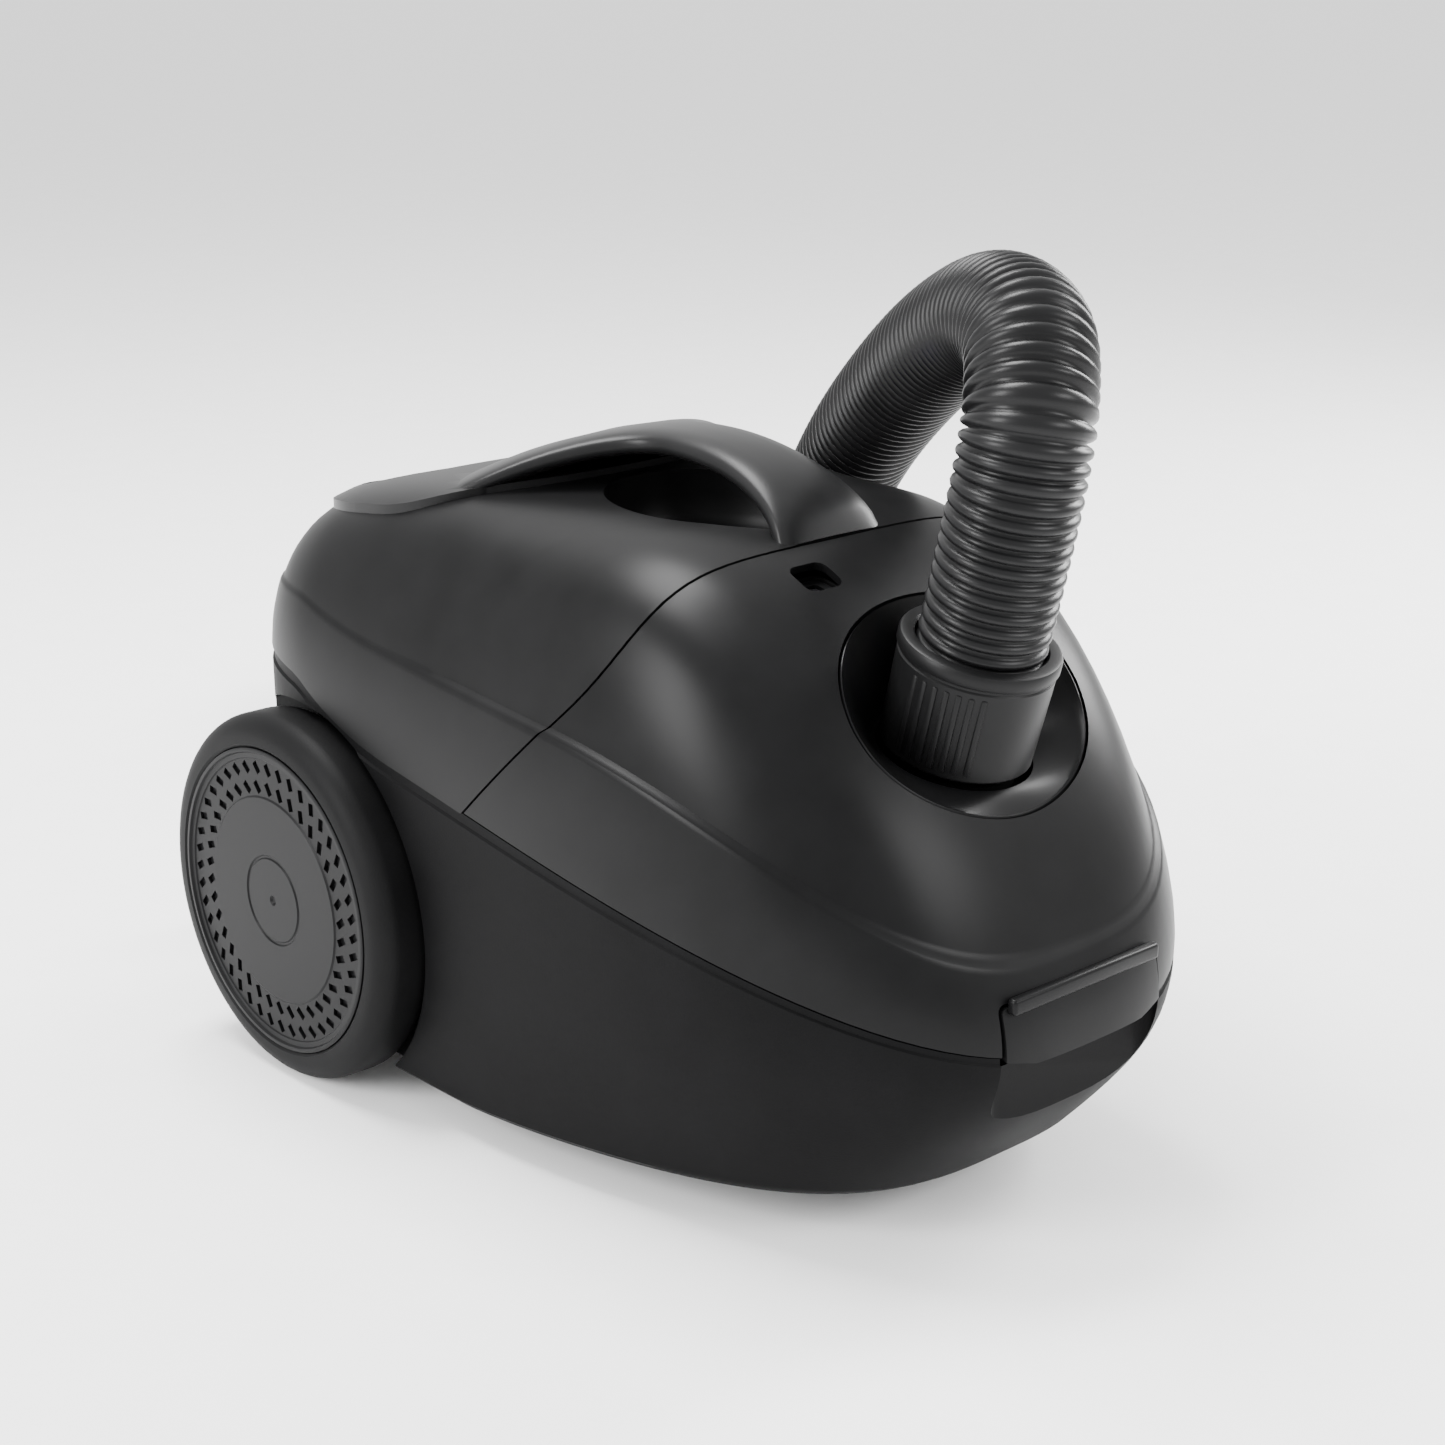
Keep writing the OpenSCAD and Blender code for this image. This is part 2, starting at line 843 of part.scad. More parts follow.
module caster_axle() {
    color("#8a8d90")
        translate([0, caster_y + caster_trail, caster_r])
            bar_x(2, 24, 32);
}

// ---- Motor, filters and bag ---------------------------------------------

motor_z = 86;
motor_y = 16;
bulk_y = 4;
bulk_t = 4;
motor_r = motor_d / 2;

module motor_bulkhead() {
    color(dark)
        translate([0, bulk_y, 0])
            rotate([90, 0, 180])
                difference() {
                    linear_extrude(height = bulk_t)
                        polygon([[-98, 28], [-90, 20], [90, 20], [98, 28], [104, 130], [70, 205],
                            [-70, 205], [-104, 130]]);
                    translate([0, motor_z, -1])
                        cylinder(r = 28, h = bulk_t + 2, $fn = 64);
                }
}

module motor_mounts() {
    color(rubber)
        translate([0, 0, motor_z]) {
            translate([0, bulk_y + bulk_t, 0])
                rotate([-90, 0, 0])
                    difference() {
                        cylinder(r = motor_r - 4, h = motor_y - bulk_y - bulk_t, $fn = 96);
                        translate([0, 0, -1])
                            cylinder(r = motor_r - 16, h = 20, $fn = 96);
                    }
            translate([0, motor_y + motor_l, 0])
                rotate([-90, 0, 0])
                    difference() {
                        cylinder(r = 24, h = 5, $fn = 64);
                        translate([0, 0, -1])
                            cylinder(r = 17, h = 8, $fn = 64);
                    }
        }
}

module motor_housing() {
    color("#5b5e62")
        translate([0, motor_y, motor_z])
            rotate([-90, 0, 0])
                difference() {
                    cylinder(r = motor_r, h = motor_l, $fn = 96);
                    translate([0, 0, 3])
                        cylinder(r = motor_r - 3, h = motor_l - 6, $fn = 96);
                    translate([0, 0, -1])
                        cylinder(r = 24, h = 6, $fn = 64);
                    translate([0, 0, motor_l - 5])
                        cylinder(d = bearing_od, h = 8, $fn = 64);
                    for (a = [0:45:315])
                        rotate([0, 0, a])
                            translate([18, -5, motor_l - 5])
                                cube([22, 10, 8]);
                }
}

bearing_od = shaft_d + 14;
fan_y = 6;
fan_h = 20;

module motor_bearings() {
    color("#9a9da0")
        for (p = [32, motor_l - 4])
            translate([0, motor_y + p, motor_z])
                rotate([-90, 0, 0])
                    difference() {
                        cylinder(d = bearing_od, h = 7, $fn = 64);
                        translate([0, 0, -1])
                            cylinder(d = shaft_d + 2 * run_gap, h = 9, $fn = 64);
                    }
}

module motor_stator() {
    color("#6f7276")
        translate([0, motor_y, motor_z])
            rotate([-90, 0, 0]) {
                difference() {
                    translate([0, 0, 44])
                        cylinder(r = motor_r - 3, h = 38, $fn = 96);
                    translate([0, 0, 43])
                        cylinder(r = 24, h = 40, $fn = 64);
                }
                // Web that carries the front bearing
                difference() {
                    translate([0, 0, 32])
                        cylinder(r = motor_r - 3, h = 4, $fn = 96);
                    translate([0, 0, 31])
                        cylinder(d = bearing_od, h = 8, $fn = 64);
                }
                difference() {
                    translate([0, 0, 36])
                        cylinder(r = motor_r - 3, h = 8, $fn = 96);
                    translate([0, 0, 35])
                        cylinder(r = motor_r - 7, h = 10, $fn = 96);
                }
            }
}

module motor_shaft() {
    color("#a5a8ab")
        translate([0, motor_y + fan_y - 1, motor_z])
            bar_y(shaft_d / 2, motor_l - fan_y + 4);
}

module armature() {
    color("#b06a3a")
        translate([0, motor_y, motor_z])
            rotate([-90, 0, 0])
                difference() {
                    union() {
                        translate([0, 0, 44])
                            cylinder(r = 22, h = 36, $fn = 64);
                        translate([0, 0, 80])
                            cylinder(r = 13, h = 14, $fn = 64);
                    }
                    translate([0, 0, 40])
                        cylinder(d = shaft_d, h = 60, $fn = 64);
                }
}

module fan_impeller() {
    color("#8d9094")
        translate([0, motor_y + fan_y, motor_z])
            rotate([-90, 0, 0]) {
                difference() {
                    union() {
                        cylinder(r = motor_r - 6, h = 2, $fn = 96);
                        translate([0, 0, fan_h - 2])
                            cylinder(r = motor_r - 6, h = 2, $fn = 96);
                        cylinder(r = 9, h = fan_h, $fn = 64);
                        for (a = [0:40:320])
                            rotate([0, 0, a])
                                translate([8, -1, 1])
                                    cube([motor_r - 16, 2, fan_h - 2]);
                    }
                    translate([0, 0, -1])
                        cylinder(d = shaft_d, h = fan_h + 2, $fn = 64);
                    translate([0, 0, -1])
                        difference() {
                            cylinder(r = 22, h = 3, $fn = 64);
                            cylinder(r = 9, h = 3, $fn = 64);
                        }
                }
            }
}

module brush_holders() {
    color("#7a6a3a")
        for (s = [-1, 1])
            translate([s * 14 + (s < 0 ? -20 : 0), motor_y + 83, motor_z - 4])
                cube([20, 9, 8]);
}

module pre_motor_filter() {
    color("#d7d8d4")
        translate([-44, bulk_y - 9, motor_z - 44])
            cube([88, 8, 88]);
}

module bag_holder() {
    color("#3d4045")
        at_inlet()
            translate([0, 0, -51])
                difference() {
                    translate([-38, -30, 0])
                        cube([76, 60, 3]);
                    translate([0, 0, -1])
                        cylinder(r = inlet_bore / 2, h = 5, $fn = 64);
                }
}

module dust_bag() {
    color("#cfc9bb")
        hull() {
            translate([0, -58, 62])
                pad_block(150, 92, 20);
            translate([0, -66, 104])
                pad_block(170, 104, 8);
        }
}

module pad_block(w, l, h) {
    translate([-w / 2 + 14, -l / 2 + 14, -h / 2])
        cube([w - 28, l - 28, h]);
    translate([-w / 2, -l / 2 + 28, -h / 2 + 2])
        cube([w, l - 56, h - 4]);
}

module exhaust_grille() {
    color(dark)
        translate([0, tail_y - wall, exhaust_z])
            difference() {
                translate([-exhaust_w / 2 + 0.4, -2, -exhaust_h / 2 + 0.4])
                    cube([exhaust_w - 0.8, 4, exhaust_h - 0.8]);
                for (z = [-8:4:8])
                    translate([-exhaust_w / 2 + 6, -3, z - 1])
                        cube([exhaust_w - 12, 6, 2]);
            }
}

module exhaust_filter() {
    color("#d7d8d4")
        translate([-exhaust_w / 2 + 2, tail_y - wall - 11, exhaust_z - exhaust_h / 2 + 2])
            cube([exhaust_w - 4, 8, exhaust_h - 4]);
}

// ---- Cable reel ---------------------------------------------------------

reel_y = 130;
reel_z = 74;
reel_w = 26;
reel_r = reel_d / 2;

module cable_reel() {
    color("#3d4045")
        translate([0, reel_y, reel_z])
            rotate([-90, 0, 0])
                difference() {
                    union() {
                        cylinder(r = reel_r, h = 2, $fn = 96);
                        translate([0, 0, reel_w - 2])
                            cylinder(r = reel_r, h = 2, $fn = 96);
                        cylinder(r = 22, h = reel_w, $fn = 64);
                    }
                    translate([0, 0, -1])
                        cylinder(r = 4 + run_gap, h = reel_w + 2, $fn = 48);
                    translate([0, 0, 6])
                        difference() {
                            cylinder(r = 19, h = reel_w, $fn = 64);
                            cylinder(r = 7, h = reel_w, $fn = 64);
                        }
                }
}

module reel_spring() {
    color("#9a9da0")
        translate([0, reel_y + 8, reel_z])
            rotate([-90, 0, 0])
                for (r = [9, 12.5, 16])
                    difference() {
                        cylinder(r = r + 1, h = 12, $fn = 64);
                        translate([0, 0, -1])
                            cylinder(r = r, h = 14, $fn = 64);
                    }
}

module reel_axle() {
    color("#8a8d90")
        translate([0, reel_y - 4, reel_z])
            rotate([-90, 0, 0]) {
                cylinder(r = 4, h = reel_w + 8, $fn = 48);
                translate([0, 0, reel_w + 5])
                    cylinder(r = 10, h = 3, $fn = 48);
            }
}

module reel_brake() {
    color("#3d4045") {
        translate([-6, reel_y + 4, reel_z + reel_r + 1])
            cube([12, 14, 5]);
        translate([-3, reel_y + 8, reel_z + reel_r + 6])
            cube([6, 6, 8]);
    }
}

module control_board() {
    color("#2f5a3a")
        translate([-88, 20, 120]) {
            cube([1.6, 60, 40]);
            translate([1.6, 10, 8])
                cube([12, 14, 14]);
            translate([1.6, 34, 8])
                cube([9, 18, 20]);
        }
}

module cord_outlet() {
    color(dark)
        translate([cord_x, tail_y - 5, cord_z])
            difference() {
                union() {
                    bar_y(9, 6, 48);
                    translate([0, 5, 0])
                        bar_y(12, 2, 48);
                }
                translate([0, -1, 0])
                    bar_y(5, 10, 48);
            }
}

// ---- Buttons ------------------------------------------------------------

module push_button(y) {
    translate([0, y, dish_z]) {
        translate([0, 0, -5])
            pad([button_w, button_l, 7], 5.6);
        translate([0, 0, -12])
            cylinder(d = 8, h = 8, $fn = 32);
    }
}

module power_button() { color("#2e3034") push_button(power_y); }
module rewind_button() { color("#2e3034") push_button(rewind_y); }

module button_springs() {
    color("#9a9da0")
        for (y = [power_y, rewind_y])
            translate([0, y, dish_z - 15.5 - button_travel])
                difference() {
                    union() {
                        cylinder(d = 10, h = 3, $fn = 32);
                        for (z = [0:1])
                            translate([0, 0, -6 * z])
                                cylinder(d = 8, h = 3, $fn = 32);
                    }
                    translate([0, 0, -10])
                        cylinder(d = 5, h = 20, $fn = 32);
                }
}

module case_screws() {
    color("#8a8d90")
        for (x = [-60, 60], y = [-60, 60])
            translate([x, y, under_z(y) - 1.1]) {
                cylinder(d = 7, h = 1.2, $fn = 24);
                cylinder(d = 3, h = 12, $fn = 24);
            }
}

// ---- Cuff, hose and grip ------------------------------------------------

cuff_h = 42;
spigot_r = inlet_bore / 2 - run_gap;

module hose_cuff() {
    color("#202124")
        at_inlet()
            difference() {
                union() {
                    translate([0, 0, -38])
                        cylinder(r = spigot_r, h = 39, $fn = 96);
                    cylinder(r1 = cuff_d / 2 - 1.5, r2 = cuff_d / 2 - 0.5, h = cuff_h - 6, $fn = 96);
                    translate([0, 0, cuff_h - 6])
                        cylinder(r = cuff_d / 2, h = 6, $fn = 96);
                    for (a = [150:12:210])
                        rotate([0, 0, a])
                            translate([cuff_d / 2 - 2.5, -1, 3])
                                cube([2.2, 2, cuff_h - 12]);
                }
                translate([0, 0, -40])
                    cylinder(r = cuff_bore / 2, h = 60, $fn = 64);
                translate([0, 0, 12])
                    cylinder(r = hose_d / 2 + 0.4, h = cuff_h, $fn = 64);
                translate([cuff_d / 2 - 5, -7, 4])
                    cube([8, 14, 22]);
            }
}

module cuff_button() {
    color(dark)
        at_inlet()
            translate([cuff_d / 2 - 3.6, -6.6, 5])
                cube([3, 13.2, 19]);
}

// Middle line of the hose: out of the cuff, over in an arch, down beside the
// body and round in one flat turn on the floor behind it
hose_route = [[0, -131, 190], [0, -139, 218], [0, -146, 246], [1, -151, 272], [6, -150, 294],
    [22, -134, 312], [44, -100, 314], [68, -56, 298], [92, -10, 272], [114, 34, 240],
    [136, 74, 204], [156, 110, 160], [174, 144, 112], [190, 178, 68], [208, 212, 36],
    [232, 250, 24], [258, 290, 24], [280, 332, 24], [294, 376, 24], [300, 422, 24],
    [294, 468, 24], [270, 508, 24], [230, 526, 24], [188, 516, 24], [154, 484, 24],
    [130, 446, 24], [120, 408, 24], [120, 376, 24], [120, 345, 24]];
hose_sides = 12;
hose_cuts = 3;
hose_flat_from = 39;
arch_side = [0.9, -0.43, 0];

function spline(p, i, t) =
    let (a = p[max(0, i - 1)], b = p[i], c = p[i + 1], d = p[min(len(p) - 1, i + 2)])
    0.5 * (2 * b + (c - a) * t + (2 * a - 5 * b + 4 * c - d) * t * t
        + (3 * b - a - 3 * c + d) * t * t * t);
hose_line = concat([for (i = [0:len(hose_route) - 2], k = [0:hose_cuts - 1])
    spline(hose_route, i, k / hose_cuts)], [hose_route[len(hose_route) - 1]]);
function heading(p, i) = let (v = p[min(i + 1, len(p) - 1)] - p[max(i - 1, 0)]) v / norm(v);
function hose_side(p, i) = i < hose_flat_from ? arch_side : cross(heading(p, i), [0, 0, 1]);
function hose_ring(p, i, r) =
    let (t = heading(p, i), u = cross(t, hose_side(p, i)),
        a = u / norm(u), b = cross(t, a))
    [for (j = [0:hose_sides - 1])
        let (w = 360 * j / hose_sides) p[i] + r * (cos(w) * a + sin(w) * b)];

// Hollow tube whose outer and inner rings close on each other
module tube_skin(rings) {
    n = len(rings[0]);
    m = len(rings);
    polyhedron([for (r = rings) each r], [for (i = [0:m - 1], j = [0:n - 1])
        each [[i * n + j, ((i + 1) % m) * n + (j + 1) % n, i * n + (j + 1) % n],
            [i * n + j, ((i + 1) % m) * n + j, ((i + 1) % m) * n + (j + 1) % n]]],
        convexity = 10);
}

module suction_hose() {
    last = len(hose_line) - 1;
    color("#161719")
        tube_skin(concat(
            [for (i = [0:last]) hose_ring(hose_line, i, hose_d / 2)],
            [for (i = [last:-1:0]) hose_ring(hose_line, i, hose_bore / 2)]));
}

grip_turn = 100;
grip_r = 70;
grip_straight = 70;
grip_neck = 40;
socket_l = 40;
grip_out = hose_d / 2 - 2;

module at_grip() {
    translate(hose_route[len(hose_route) - 1])
        children();
}

grip_bore = wand_d / 2 - 1;
grip_gap = 0.1;
bend_steps = 8;
bend_sides = 32;

// Collar that joins the hose to the grip and holds the suction slider
module hose_collar() {
    color("#202124")
        at_grip()
            difference() {
                rotate([90, 0, 0])
                    cylinder(r = grip_out, h = grip_neck - grip_gap, $fn = 64);
                translate([0, 1, 0])
                    rotate([90, 0, 0])
                        cylinder(r = grip_bore, h = grip_neck + 2, $fn = 64);
                translate([-6, -32, grip_out - 3])
                    cube([12, 24, 6]);
            }
}

function bend_ring(a, r) = [for (j = [0:bend_sides - 1])
    let (w = 360 * j / bend_sides, q = grip_r + r * cos(w))
    [-grip_r + q * cos(a), -grip_neck - q * sin(a), r * sin(w)]];

// Bent tube of the grip, and the straight end with the wand socket
module hose_grip() {
    color("#202124")
        at_grip() {
            tube_skin(concat(
                [for (k = [0:bend_steps]) bend_ring(grip_turn * k / bend_steps, grip_out)],
                [for (k = [bend_steps:-1:0]) bend_ring(grip_turn * k / bend_steps, grip_bore)]));
            translate([-grip_r, -grip_neck, 0])
                rotate([0, 0, -grip_turn])
                    translate([grip_r, -grip_gap, 0])
                        rotate([90, 0, 0])
                            difference() {
                                cylinder(r = grip_out, h = grip_straight, $fn = 64);
                                translate([0, 0, -1])
                                    cylinder(r = grip_bore, h = grip_straight, $fn = 64);
                                translate([0, 0, grip_straight - socket_l])
                                    cylinder(r = wand_d / 2, h = socket_l + 1, $fn = 64);
                            }
        }
}

module grip_slider() {
    color("#3d4045")
        at_grip()
            translate([-5.7, -29.4, grip_out - 2.6])
                cube([11.4, 11, 4]);
}

lower_casing();
rear_cover();
carry_handle();
window_lens();
window_bezel();
hinge_brackets();
hinge_pins();
motor_bulkhead();
motor_housing();
motor_stator();
motor_bearings();
motor_mounts();
brush_holders();
pre_motor_filter();
bag_holder();
dust_bag();
exhaust_grille();
exhaust_filter();
reel_axle();
reel_brake();
control_board();
cord_outlet();
stub_axles();
caster_socket();
button_springs();
case_screws();
wheel_rim_left();
wheel_rim_right();
tyre_left();
tyre_right();
wheel_cap_left();
wheel_cap_right();
caster_fork();
caster_wheel();
caster_axle();
lid_shell();
lid_arms();
inlet_bowl();
inlet_tube();
inlet_seal();
lid_seal();
indicator_window();
indicator_flag();
latch_pin();
latch_lever();
latch_spring();
power_button();
rewind_button();
cable_reel();
reel_spring();
motor_shaft();
armature();
fan_impeller();
hose_cuff();
cuff_button();
suction_hose();
hose_collar();
hose_grip();
grip_slider();
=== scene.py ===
"""Looks of a canister vacuum cleaner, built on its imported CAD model.

The body is a pair of lofted shells with a hinged lid in front, a strap handle
and an oval window behind it. Sizes are in millimetres in the classes below and
every mesh is made in metres, in the CAD frame.
"""

import logging
import math
from dataclasses import dataclass
from enum import Enum
from typing import Iterable, Sequence

import bmesh
import bpy
from mathutils import Matrix, Vector
from mathutils.bvhtree import BVHTree


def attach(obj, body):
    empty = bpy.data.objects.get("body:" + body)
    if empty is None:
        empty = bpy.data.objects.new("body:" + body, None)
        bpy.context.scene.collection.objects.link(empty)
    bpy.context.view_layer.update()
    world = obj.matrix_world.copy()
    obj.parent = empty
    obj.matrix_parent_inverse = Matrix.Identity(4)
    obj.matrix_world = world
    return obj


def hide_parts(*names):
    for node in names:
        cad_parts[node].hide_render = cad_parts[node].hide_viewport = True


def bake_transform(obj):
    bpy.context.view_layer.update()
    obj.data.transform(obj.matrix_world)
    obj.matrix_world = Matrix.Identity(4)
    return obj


log = logging.getLogger("vacuum")
MM = 0.001
Point = tuple[float, float, float]
Ring = list[Vector]

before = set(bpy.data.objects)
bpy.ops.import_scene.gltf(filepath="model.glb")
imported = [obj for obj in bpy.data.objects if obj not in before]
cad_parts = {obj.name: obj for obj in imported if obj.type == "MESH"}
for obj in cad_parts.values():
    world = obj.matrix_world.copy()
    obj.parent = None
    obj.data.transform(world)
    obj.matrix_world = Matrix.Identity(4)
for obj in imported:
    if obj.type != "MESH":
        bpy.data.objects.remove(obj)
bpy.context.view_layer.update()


# ---- Finishes ---------------------------------------------------------------


class Grain(Enum):
    """How fine the surface texture of a moulded finish is, per metre."""

    FINE = 2600.0
    SPARK = 1500.0
    SOFT = 420.0
    FELT = 900.0


@dataclass(frozen=True)
class Finish:
    """A moulded, rubber, metal or felt surface.

    Args:
        name: Material name.
        color: Base colour, linear.
        rough: Mean roughness.
        spread: How much the roughness varies in soft patches.
        grain: Scale of the surface texture.
        bump: Depth of the texture.
        metal: Metallic share.
        specular: Specular level.
        wear: Share of lighter wear patches.
    """

    name: str
    color: Point
    rough: float
    spread: float = 0.06
    grain: Grain = Grain.FINE
    bump: float = 0.05
    metal: float = 0.0
    specular: float = 0.5
    wear: float = 0.25

    def make(self) -> bpy.types.Material:
        """Builds the node material.

        Returns:
            The finished material.
        """
        mat = bpy.data.materials.new(self.name)
        mat.use_nodes = True
        tree = mat.node_tree
        new = tree.nodes.new
        shader = tree.nodes["Principled BSDF"]
        shader.inputs["Metallic"].default_value = self.metal
        shader.inputs["Specular IOR Level"].default_value = self.specular
        place = new("ShaderNodeTexCoord")
        cloud = new("ShaderNodeTexNoise")
        cloud.inputs["Scale"].default_value = 34.0
        cloud.inputs["Detail"].default_value = 4.0
        fine = new("ShaderNodeTexNoise")
        fine.inputs["Scale"].default_value = self.grain.value
        fine.inputs["Detail"].default_value = 2.0
        tint = new("ShaderNodeValToRGB")
        low = tuple(c * (1.0 - self.wear) for c in self.color)
        high = tuple(min(1.0, c * (1.0 + self.wear)) for c in self.color)
        tint.color_ramp.elements[0].position = 0.3
        tint.color_ramp.elements[1].position = 0.7
        tint.color_ramp.elements[0].color = (*low, 1.0)
        tint.color_ramp.elements[1].color = (*high, 1.0)
        rough = new("ShaderNodeMapRange")
        rough.inputs["To Min"].default_value = max(0.02, self.rough - self.spread)
        rough.inputs["To Max"].default_value = min(1.0, self.rough + self.spread)
        bump = new("ShaderNodeBump")
        bump.inputs["Strength"].default_value = self.bump
        bump.inputs["Distance"].default_value = 0.0004
        link = tree.links.new
        link(place.outputs["Object"], cloud.inputs["Vector"])
        link(place.outputs["Object"], fine.inputs["Vector"])
        link(cloud.outputs["Fac"], tint.inputs["Fac"])
        link(cloud.outputs["Fac"], rough.inputs["Value"])
        link(tint.outputs["Color"], shader.inputs["Base Color"])
        link(rough.outputs["Result"], shader.inputs["Roughness"])
        link(fine.outputs["Fac"], bump.inputs["Height"])
        link(bump.outputs["Normal"], shader.inputs["Normal"])
        return mat


@dataclass(frozen=True)
class SmokedGlass:
    """Tinted clear plastic of the windows.

    Args:
        name: Material name.
        color: Tint, linear.
        clear: How much light passes.
    """

    name: str
    color: Point
    clear: float

    def make(self) -> bpy.types.Material:
        """Builds the node material.

        Returns:
            The finished material.
        """
        mat = Finish(self.name, self.color, 0.1, 0.03, Grain.SOFT, 0.01).make()
        shader = mat.node_tree.nodes["Principled BSDF"]
        shader.inputs["Transmission Weight"].default_value = self.clear
        shader.inputs["Coat Weight"].default_value = 0.6
        shader.inputs["Coat Roughness"].default_value = 0.04
        return mat


FINISHES: dict[str, Finish | SmokedGlass] = {
    "lid": Finish("lid_satin", (0.0034, 0.0034, 0.0036), 0.34, 0.03, Grain.FINE, 0.035, 0, 0.1),
    "cover": Finish("cover_satin", (0.0034, 0.0034, 0.0036), 0.38, 0.03, Grain.FINE, 0.04, 0, 0.11),
    "casing": Finish("casing_matt", (0.0026, 0.0026, 0.0028), 0.52, 0.05, Grain.SPARK, 0.12, 0, 0.05),
    "handle": Finish("handle_satin", (0.008, 0.008, 0.0083), 0.36, 0.04, Grain.FINE, 0.05, 0, 0.16),
    "cap": Finish("cap_satin", (0.0045, 0.0045, 0.0048), 0.42, 0.05, Grain.FINE, 0.05, 0, 0.09),
    "tyre": Finish("tyre_rubber", (0.0035, 0.0035, 0.0037), 0.55, 0.08, Grain.SPARK, 0.12, 0, 0.08),
    "hose": Finish("hose_vinyl", (0.0045, 0.0045, 0.0048), 0.34, 0.05, Grain.SPARK, 0.05, 0, 0.17),
    "cuff": Finish("cuff_satin", (0.005, 0.005, 0.0052), 0.4, 0.05, Grain.FINE, 0.05, 0, 0.13),
    "dark": Finish("dark_plastic", (0.003, 0.003, 0.003), 0.55, 0.06, Grain.SPARK, 0.1, 0, 0.06),
    "rubber": Finish("seal_rubber", (0.012, 0.012, 0.012), 0.6, 0.08, Grain.SPARK, 0.15, 0, 0.3),
    "inner": Finish("inner_plastic", (0.07, 0.073, 0.078), 0.48, 0.06, Grain.SPARK, 0.1),
    "steel": Finish("brushed_steel", (0.55, 0.56, 0.57), 0.32, 0.08, Grain.SOFT, 0.06, 1.0),
    "can": Finish("motor_can", (0.3, 0.31, 0.32), 0.38, 0.06, Grain.SOFT, 0.05, 0.8),
    "copper": Finish("enamelled_wire", (0.45, 0.17, 0.07), 0.35, 0.06, Grain.SOFT, 0.2, 0.7),
    "felt": Finish("filter_felt", (0.74, 0.74, 0.7), 0.9, 0.05, Grain.FELT, 0.6, 0, 0.2),
    "paper": Finish("bag_fleece", (0.62, 0.57, 0.46), 0.92, 0.05, Grain.FELT, 0.5, 0, 0.2),
    "board": Finish("board_laminate", (0.03, 0.12, 0.05), 0.4, 0.05, Grain.SOFT, 0.05),
    "flag": Finish("flag_red", (0.35, 0.04, 0.03), 0.3, 0.04, Grain.FINE, 0.03),
    "glass": SmokedGlass("smoked_glass", (0.045, 0.048, 0.052), 0.55),
    "lens": SmokedGlass("indicator_clear", (0.02, 0.02, 0.022), 0.35),
}

CAD_FINISH: dict[str, tuple[str, ...]] = {
    "dark": ("hinge_brackets", "motor_bulkhead", "cord_outlet", "caster_socket",
             "inlet_tube", "cuff_button", "brush_holders", "caster_fork", "inlet_seal",
             "exhaust_grille"),
    "cuff": ("hose_collar", "hose_grip"),
    "steel": ("hinge_pins", "reel_axle", "stub_axles", "case_screws", "caster_axle",
              "motor_shaft", "motor_bearings", "button_springs", "reel_spring"),
    "can": ("motor_housing", "motor_stator", "fan_impeller"),
    "copper": ("armature",),
    "felt": ("pre_motor_filter", "exhaust_filter"),
    "inner": ("bag_holder", "cable_reel", "reel_brake", "grip_slider"),
    "board": ("control_board",),
    "flag": ("indicator_flag",),
    "rubber": ("motor_mounts", "lid_seal", "caster_wheel"),
    "cap": ("wheel_rim_left", "wheel_rim_right"),
}


class Palette:
    """Makes each finish once and hands it out by name."""

    def __init__(self) -> None:
        self._made: dict[str, bpy.types.Material] = {}

    def get(self, name: str) -> bpy.types.Material:
        """Looks a finish up, making it on first use.

        Args:
            name: Key in FINISHES.

        Returns:
            The material.
        """
        if name not in self._made:
            self._made[name] = FINISHES[name].make()
        return self._made[name]


PALETTE = Palette()


# ---- Mesh helpers -----------------------------------------------------------


def link(name: str, mesh: bpy.types.Mesh) -> bpy.types.Object:
    """Puts a mesh into the scene as an object at the origin.

    Args:
        name: Object name.
        mesh: Its mesh.

    Returns:
        The object.
    """
    obj = bpy.data.objects.new(name, mesh)
    bpy.context.scene.collection.objects.link(obj)
    return obj


def from_bmesh(name: str, bm: bmesh.types.BMesh) -> bpy.types.Object:
    """Turns a bmesh into an object with outward normals.

    Args:
        name: Object name.
        bm: Mesh to write, freed afterwards.

    Returns:
        The object.
    """
    bmesh.ops.recalc_face_normals(bm, faces=bm.faces)
    mesh = bpy.data.meshes.new(name)
    bm.to_mesh(mesh)
    bm.free()
    return link(name, mesh)


def loft(name: str, rings: Sequence[Ring], wrap: bool = False) -> bpy.types.Object:
    """Bridges a row of closed rings into a solid.

    Args:
        name: Object name.
        rings: Rings of points in millimetres, all of one length.
        wrap: Joins the last ring to the first instead of capping both.

    Returns:
        The solid.
    """
    bm = bmesh.new()
    rows = [[bm.verts.new(p * MM) for p in ring] for ring in rings]
    count = len(rows[0])
    for i in range(len(rows) if wrap else len(rows) - 1):
        a, b = rows[i], rows[(i + 1) % len(rows)]
        for j in range(count):
            k = (j + 1) % count
            bm.faces.new((a[j], a[k], b[k], b[j]))
    if not wrap:
        for row in (rows[0], rows[-1]):
            mid = bm.verts.new(sum((v.co for v in row), Vector()) / count)
            for j in range(count):
                bm.faces.new((row[j], row[(j + 1) % count], mid))
    return from_bmesh(name, bm)


